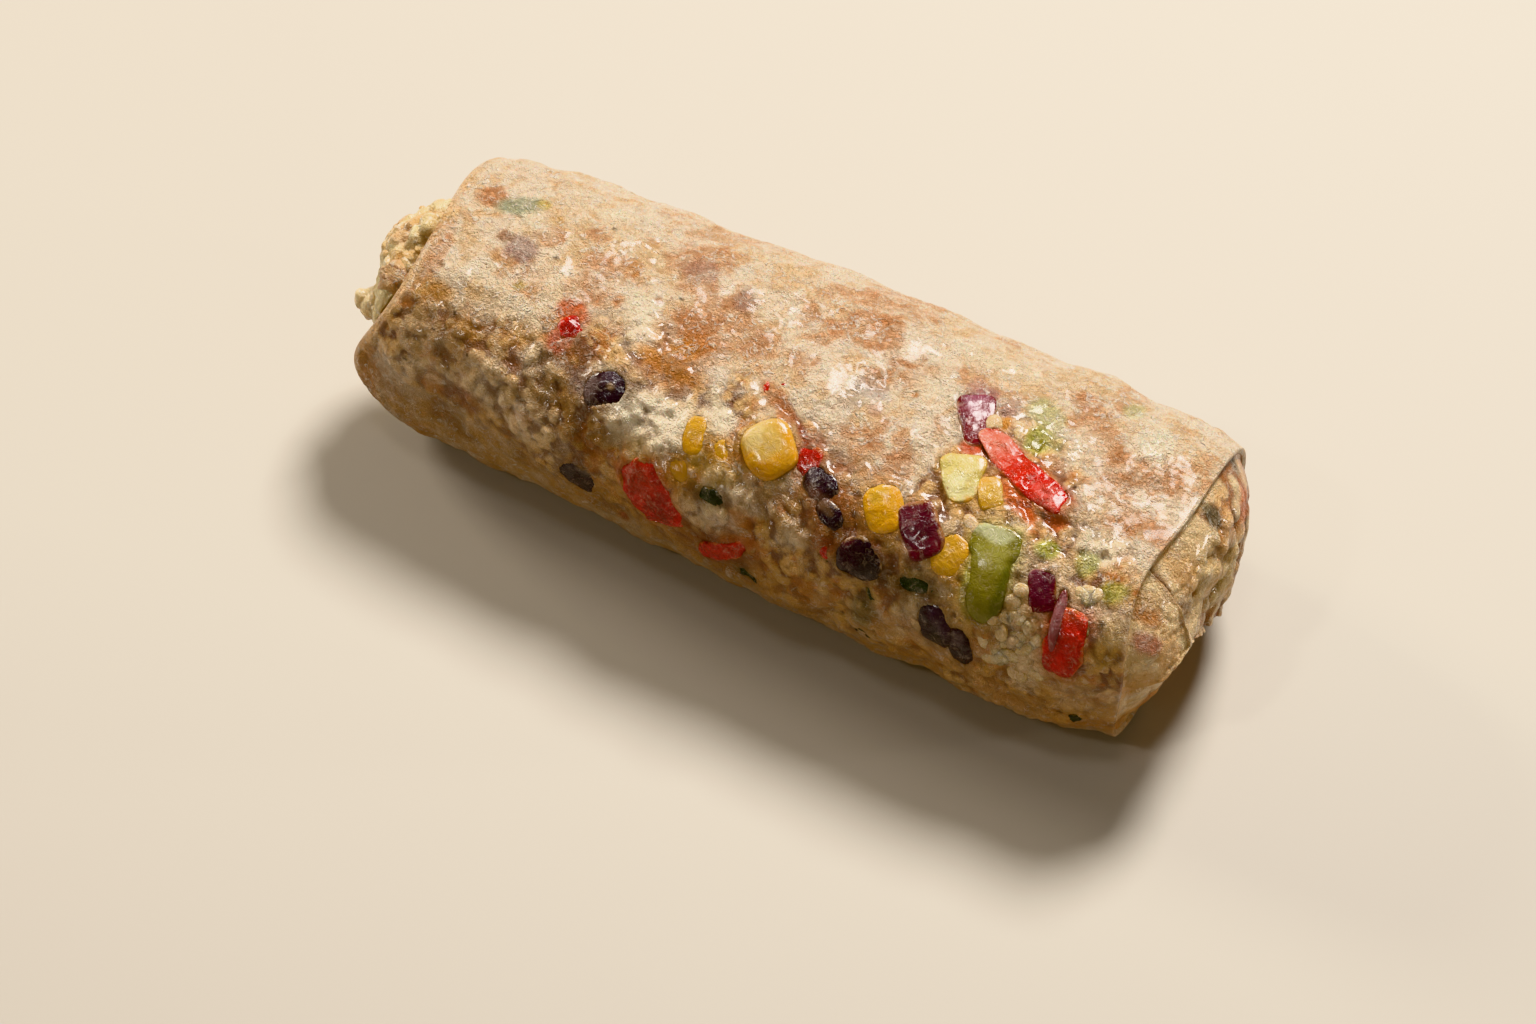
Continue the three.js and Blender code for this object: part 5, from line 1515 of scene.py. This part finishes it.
# Paint on each piece: colour, along, around, length, width, turn, strength
PAINT = {
    "corn_kernel_large": (
        ((186, 158, 90), 6, 41, 9, 9, 0, 0.85), ((206, 188, 136), 3.5, 40, 4, 6, 0, 0.5),
        ((180, 124, 16), 8.4, 50.5, 10, 4.6, -20, 0.9), ((180, 134, 50), 11, 44, 3, 8, 0, 0.5),
    ),
    "corn_kernel_middle": (((188, 148, 62), -8, 47, 5, 6, 0, 0.6), ((190, 138, 17), -7, 54, 4, 5, 0, 0.7)),
    "corn_kernel_small": (((173, 131, 44), -2, 50, 4, 4, 0, 0.6),),
    "corn_kernel_low": (((165, 118, 37), -8.6, 62, 6, 5, 0, 0.6),),
    "pale_pepper_wedge": (
        ((186, 175, 111), 44, 24, 12, 12, 0, 0.9), ((198, 192, 148), 45, 29, 6, 8, 30, 0.6),
        ((165, 144, 54), 47.6, 20, 2.4, 9, 20, 0.7),
    ),
    "yellow_pepper_small": (((173, 148, 81), 51, 26, 7, 7, 0, 0.7), ((165, 123, 34), 52, 31, 5, 3, 0, 0.7)),
    "yellow_pepper_bright": (
        ((193, 141, 24), 32.5, 46, 7, 10, 0, 0.8), ((195, 160, 69), 31, 42, 4, 5, 0, 0.6),
    ),
    "yellow_pepper_lower": (((173, 138, 55), 49, 52, 7, 8, 0, 0.6),),
    "red_pepper_strip": (
        ((222, 130, 106), 47, 6, 11, 8, 20, 0.8), ((204, 70, 50), 53, 12, 9, 6, 20, 0.6),
        ((196, 34, 20), 56, 18, 14, 6, 30, 0.6), ((206, 96, 84), 61, 19, 8, 5, 30, 0.6),
    ),
    "onion_magenta": (
        ((116, 40, 54), 40.5, -7, 8, 8, 0, 0.75), ((136, 84, 100), 38.5, -11, 5, 6, 0, 0.6),
        ((110, 18, 26), 42, 4, 5, 8, 0, 0.7),
    ),
    "onion_dark": (
        ((56, 14, 28), 41, 49, 8, 9, 0, 0.7), ((104, 52, 62), 38.5, 44, 4, 6, 0, 0.55),
        ((130, 84, 72), 40, 56.5, 7, 3, 30, 0.7),
    ),
    "onion_right": (((84, 38, 54), 68, 50, 5, 7, 0, 0.6), ((120, 72, 84), 66, 47, 3, 5, 0, 0.6)),
    "onion_sliver": (((158, 108, 110), 73.3, 58, 3, 14, 0, 0.85), ((134, 60, 66), 73.3, 67, 3, 6, 0, 0.6)),
    "avocado": (
        ((148, 142, 72), 57, 46, 8, 8, 0, 0.75), ((173, 173, 133), 55.5, 39.5, 8, 3.4, 0, 0.85),
        ((124, 114, 40), 56.5, 58, 6, 12, 0, 0.6), ((77, 81, 18), 61.5, 56, 3, 16, 0, 0.6),
        ((76, 77, 20), 52.4, 58, 2, 14, 0, 0.5), ((118, 118, 34), 62.5, 40, 4, 4, 0, 0.6),
    ),
    "black_bean_split": (
        ((126, 98, 84), 20, 52, 7, 4, 20, 0.5), ((150, 122, 96), 22.6, 54, 4, 2, 20, 0.35),
        ((96, 84, 88), 17.5, 46, 3, 3, 0, 0.5),
    ),
    "black_bean_right": (
        ((78, 62, 76), 52, 74, 7, 4, 40, 0.55), ((100, 84, 88), 55.5, 78, 3.4, 5, 0, 0.5),
        ((28, 18, 20), 51, 81, 3, 4, 0, 0.9),
    ),
    "black_bean_veiled": (
        ((118, 100, 96), -32.6, 48.5, 5, 6, 0, 0.75), ((88, 72, 80), -29, 43, 4, 4, 0, 0.6),
        ((190, 160, 120), -28.4, 45.6, 1.4, 1.4, 0, 0.6),
    ),
    "black_bean_left": (((110, 96, 88), -29.6, 80, 6, 3, 20, 0.6),),
    "black_bean_dark": (
        ((46, 18, 34), 30.5, 64, 7, 7, 0, 0.6), ((86, 40, 46), 28.4, 60, 4, 4, 0, 0.6),
        ((18, 12, 14), 34.5, 66, 5, 6, 0, 0.6),
    ),
    "red_pepper_dice_left": (
        ((168, 52, 34), -16, 72, 8, 8, 0, 0.6), ((136, 18, 10), -11, 80, 6, 10, 0, 0.6),
    ),
    "red_pepper_dice_right": (((200, 40, 24), 77, 58, 6, 8, 0, 0.6), ((206, 96, 70), 75, 54, 6, 3, 0, 0.6)),
    "red_pepper_low": (((150, 44, 26), 6, 84, 8, 5, -40, 0.5),),
    "red_pepper_bit": (((130, 8, 2), -42, 31.4, 4, 4, 0, 0.85),),
    "red_pepper_dark": (((130, 24, 12), 15.3, 43, 6, 6, 0, 0.7),),
}
ROUGHNESS = {
    "corn": 0.12, "yellow_pepper": 0.14, "red_pepper": 0.4, "onion": 0.13,
    "avocado": 0.1, "bean": 0.24, "herb": 0.4,
}


def make_piece(name):
    kind, lobes = PIECES[name]
    bm = bmesh.new()
    for number, lobe in enumerate(lobes):
        lobe_vertices(bm, lobe, rough=ROUGHNESS[kind], seed=number + len(name))
    bmesh.ops.recalc_face_normals(bm, faces=bm.faces)
    piece = finish_piece(name, bm, piece_material(kind), [name])
    if len(lobes) > 1 and kind == "avocado":
        melt(piece)
    paint_piece(piece, name)
    return piece


def melt(piece):
    """Joins a piece's lobes into one soft body."""
    remesh = piece.modifiers.new("Remesh", "REMESH")
    remesh.mode = "VOXEL"
    remesh.voxel_size = 0.32 * MM
    depsgraph = bpy.context.evaluated_depsgraph_get()
    melted = bmesh.new()
    melted.from_mesh(piece.evaluated_get(depsgraph).to_mesh())
    piece.modifiers.remove(remesh)
    for _ in range(8):
        bmesh.ops.smooth_vert(
            melted, verts=melted.verts, factor=0.5, use_axis_x=True, use_axis_y=True, use_axis_z=True
        )
    melted.to_mesh(piece.data)
    melted.free()
    piece.data.shade_smooth()


def paint_piece(piece, name, lobes=None):
    """Paints a piece, and keeps how far each spot is from its outline."""
    points = mesh_points(piece.data)
    along, around = points[:, 0], around_of(points)
    wobble = value_noise(points, 1.6, 63) + 0.4 * value_noise(points, 0.8, 64)
    listed = PAINT.get(name, ())
    store(piece.data, "tint", blend_stains(along, around, wobble, listed))
    outlines = [outside_lobe(along, around, lobe) for lobe in lobes or PIECES[name][1]]
    store(piece.data, "inside", np.clip(-np.min(outlines, axis=0) / EDGE_WIDTH, 0, 1))


def rice_lobes():
    """Low lumps of rice beside the pieces: the listed ones, then smaller ones in loose clusters."""
    lobes = [(*grain, 1.15, {"depth": 1}) for grain in BARE_RICE]
    draw = np.random.default_rng(77)
    blocked = [lobe for _, lobe in all_lobes()]
    for place, side, spread, count in RICE_CLUSTERS:
        for _ in range(count):
            along, around = place + draw.normal(0, spread), side + 1.9 * draw.normal(0, spread)
            length, width = draw.uniform(3.2, 4.6), draw.uniform(2.2, 2.9)
            here = np.array(along), np.array(math.radians(around))
            if min(float(outside_lobe(*here, lobe)) for lobe in blocked) < 0.7:
                continue
            lobes.append((
                along, around, draw.uniform(0, 180), length, width, draw.uniform(0.7, 1.0), {"depth": 1},
            ))
    return lobes


def make_skin_rice():
    bm = bmesh.new()
    lobes = rice_lobes()
    for number, lobe in enumerate(lobes):
        lobe_vertices(bm, lobe, rough=0.3, seed=number, fineness=3)
    bmesh.ops.recalc_face_normals(bm, faces=bm.faces)
    piece = finish_piece("rice_in_skin", bm, piece_material("rice"))
    paint_piece(piece, piece.name, lobes)
    return piece


def make_scraps(kind):
    bm = bmesh.new()
    lobes = [(*scrap[1:], {"depth": 0.8}) for scrap in SCRAPS if scrap[0] == kind]
    for number, lobe in enumerate(lobes):
        lobe_vertices(bm, lobe, rough=0.3, seed=number)
    piece = finish_piece(f"{kind}_scraps", bm, piece_material(kind))
    paint_piece(piece, piece.name, lobes)
    return piece


# ---- The stage ----

CAMERA_TARGET = Vector((3.99, -16.83, 18.2)) * MM
CAMERA_BACK = (28, 55)  # azimuth and elevation in degrees
CAMERA_DISTANCE = 742.47 * MM


def make_floor(stage):
    bm = bmesh.new()
    bmesh.ops.create_grid(bm, x_segments=2, y_segments=2, size=4)
    mesh = bpy.data.meshes.new("floor")
    bm.to_mesh(mesh)
    bm.free()
    floor = bpy.data.objects.new("floor", mesh)
    floor.location.z = -0.02 * MM
    bpy.context.scene.collection.objects.link(floor)
    material, tree, shader = new_material("Plain floor")
    tree.feed(shader.inputs["Base Color"], tuple(stage.floor))
    shader.inputs["Roughness"].default_value = 0.75
    mesh.materials.append(material)


def add_light(name, place, size, power, colour):
    data = bpy.data.lights.new(name, "AREA")
    data.shape = "DISK"
    data.size = size
    data.energy = power
    data.color = colour
    light = bpy.data.objects.new(name, data)
    light.location = place
    light.rotation_euler = (-Vector(place)).to_track_quat("-Z", "Y").to_euler()
    bpy.context.scene.collection.objects.link(light)


def make_camera(stage):
    azimuth, elevation = (math.radians(angle) for angle in CAMERA_BACK)
    back = Vector((
        math.sin(azimuth) * math.cos(elevation), -math.cos(azimuth) * math.cos(elevation), math.sin(elevation),
    ))
    right = Vector((math.cos(azimuth), math.sin(azimuth), 0))
    up = back.cross(right)
    data = bpy.data.cameras.new("camera")
    data.lens = stage.focal_length
    data.clip_start = 0.01
    camera = bpy.data.objects.new("camera", data)
    facing = Matrix((right, up, back)).transposed().to_4x4()
    camera.matrix_world = Matrix.Translation(CAMERA_TARGET + back * CAMERA_DISTANCE) @ facing
    bpy.context.scene.collection.objects.link(camera)
    bpy.context.scene.camera = camera


# ---- Operators ----

class BURRITO_OT_wrap(bpy.types.Operator):
    """Roll the toasted tortilla"""
    bl_idname = "burrito.wrap"
    bl_label = "Wrap"

    def execute(self, context):
        make_wrap()
        return {"FINISHED"}


class BURRITO_OT_folded_end(bpy.types.Operator):
    """Fold the flaps that close the right end"""
    bl_idname = "burrito.folded_end"
    bl_label = "Folded end"

    def execute(self, context):
        make_folded_end()
        return {"FINISHED"}


class BURRITO_OT_open_end(bpy.types.Operator):
    """Heap the filling at the open end, with the tucked fold beside it"""
    bl_idname = "burrito.open_end"
    bl_label = "Open end"

    def execute(self, context):
        make_heap()
        make_tuck()
        return {"FINISHED"}


class BURRITO_OT_rice(bpy.types.Operator):
    """Set grains of rice in the damp skin"""
    bl_idname = "burrito.rice"
    bl_label = "Rice in the skin"

    def execute(self, context):
        make_skin_rice()
        return {"FINISHED"}


def kind_operator(kind, label, words):
    """An operator that makes every piece of one kind, and its scraps."""
    def execute(self, context):
        for name, (piece_kind, _) in PIECES.items():
            if piece_kind == kind:
                make_piece(name)
        if any(scrap[0] == kind for scrap in SCRAPS):
            make_scraps(kind)
        return {"FINISHED"}

    return type(
        f"BURRITO_OT_{kind}", (bpy.types.Operator,),
        {"__doc__": words, "bl_idname": f"burrito.{kind}", "bl_label": label, "execute": execute},
    )


KINDS = (
    kind_operator("corn", "Corn", "Set the corn kernels in the front"),
    kind_operator("yellow_pepper", "Yellow pepper", "Set the diced yellow pepper in the front"),
    kind_operator("red_pepper", "Red pepper", "Set the red pepper in the front"),
    kind_operator("onion", "Onion", "Set the purple onion in the front"),
    kind_operator("avocado", "Avocado", "Set the avocado in the front"),
    kind_operator("bean", "Beans", "Set the black beans in the front"),
    kind_operator("herb", "Herbs", "Set the chopped leaves in the front"),
)


class BURRITO_OT_stage(bpy.types.Operator):
    """Set up the floor, the soft lights and the camera"""
    bl_idname = "burrito.stage"
    bl_label = "Stage"

    def execute(self, context):
        stage = context.scene.burrito_stage
        make_floor(stage)
        add_light("key", (0.02, 0.56, 0.82), 0.3, stage.key_power, (1.0, 0.965, 0.92))
        add_light("top", (0.05, -0.2, 0.95), 0.16, stage.top_power, (1.0, 0.97, 0.93))
        add_light("side", (-0.85, 0.12, 0.5), 0.3, stage.side_power, (1.0, 0.9, 0.76))
        add_light("glint", (-0.24, -0.5, 0.78), 0.06, stage.glint_power, (1.0, 0.95, 0.9))
        add_light("low glint", (-0.3, -0.85, 0.3), 0.06, stage.glint_power / 3, (1.0, 0.95, 0.9))
        add_light("right glint", (0.85, 0.36, 0.16), 0.07, stage.glint_power * 1.3, (1.0, 0.93, 0.84))
        add_light("fill", (0.85, -0.45, 0.4), 0.4, stage.fill_power, (1.0, 0.84, 0.64))
        world = bpy.data.worlds.new("soft room")
        world.use_nodes = True
        background = world.node_tree.nodes["Background"]
        background.inputs["Color"].default_value = (1.0, 0.84, 0.62, 1)
        background.inputs["Strength"].default_value = stage.ambient
        context.scene.world = world
        context.scene.view_settings.view_transform = "Khronos PBR Neutral"
        make_camera(stage)
        return {"FINISHED"}


OPERATORS = (
    BURRITO_OT_wrap, BURRITO_OT_folded_end, BURRITO_OT_open_end, *KINDS, BURRITO_OT_rice, BURRITO_OT_stage,
)


class BURRITO_PT_panel(bpy.types.Panel):
    """Sizes, colours and pieces of the burrito"""
    bl_idname = "BURRITO_PT_panel"
    bl_label = "Burrito"
    bl_space_type = "VIEW_3D"
    bl_region_type = "UI"
    bl_category = "Burrito"

    def draw(self, context):
        scene = context.scene
        for group in (scene.burrito_sizes, scene.burrito_colours, scene.burrito_stage):
            box = self.layout.box()
            for name in group.__annotations__:
                box.prop(group, name)
        for operator in OPERATORS:
            self.layout.operator(operator.bl_idname)


GROUPS = (
    (BurritoSizes, "burrito_sizes"), (BurritoColours, "burrito_colours"), (BurritoStage, "burrito_stage"),
)


def register():
    for group, name in GROUPS:
        bpy.utils.register_class(group)
        setattr(bpy.types.Scene, name, bpy.props.PointerProperty(type=group))
    for item in (*OPERATORS, BURRITO_PT_panel):
        bpy.utils.register_class(item)


def unregister():
    for item in reversed((*OPERATORS, BURRITO_PT_panel)):
        bpy.utils.unregister_class(item)
    for group, name in reversed(GROUPS):
        delattr(bpy.types.Scene, name)
        bpy.utils.unregister_class(group)


def main():
    register()
    for operator in OPERATORS:
        group, name = operator.bl_idname.split(".")
        getattr(getattr(bpy.ops, group), name)()


if __name__ == "__main__":
    main()
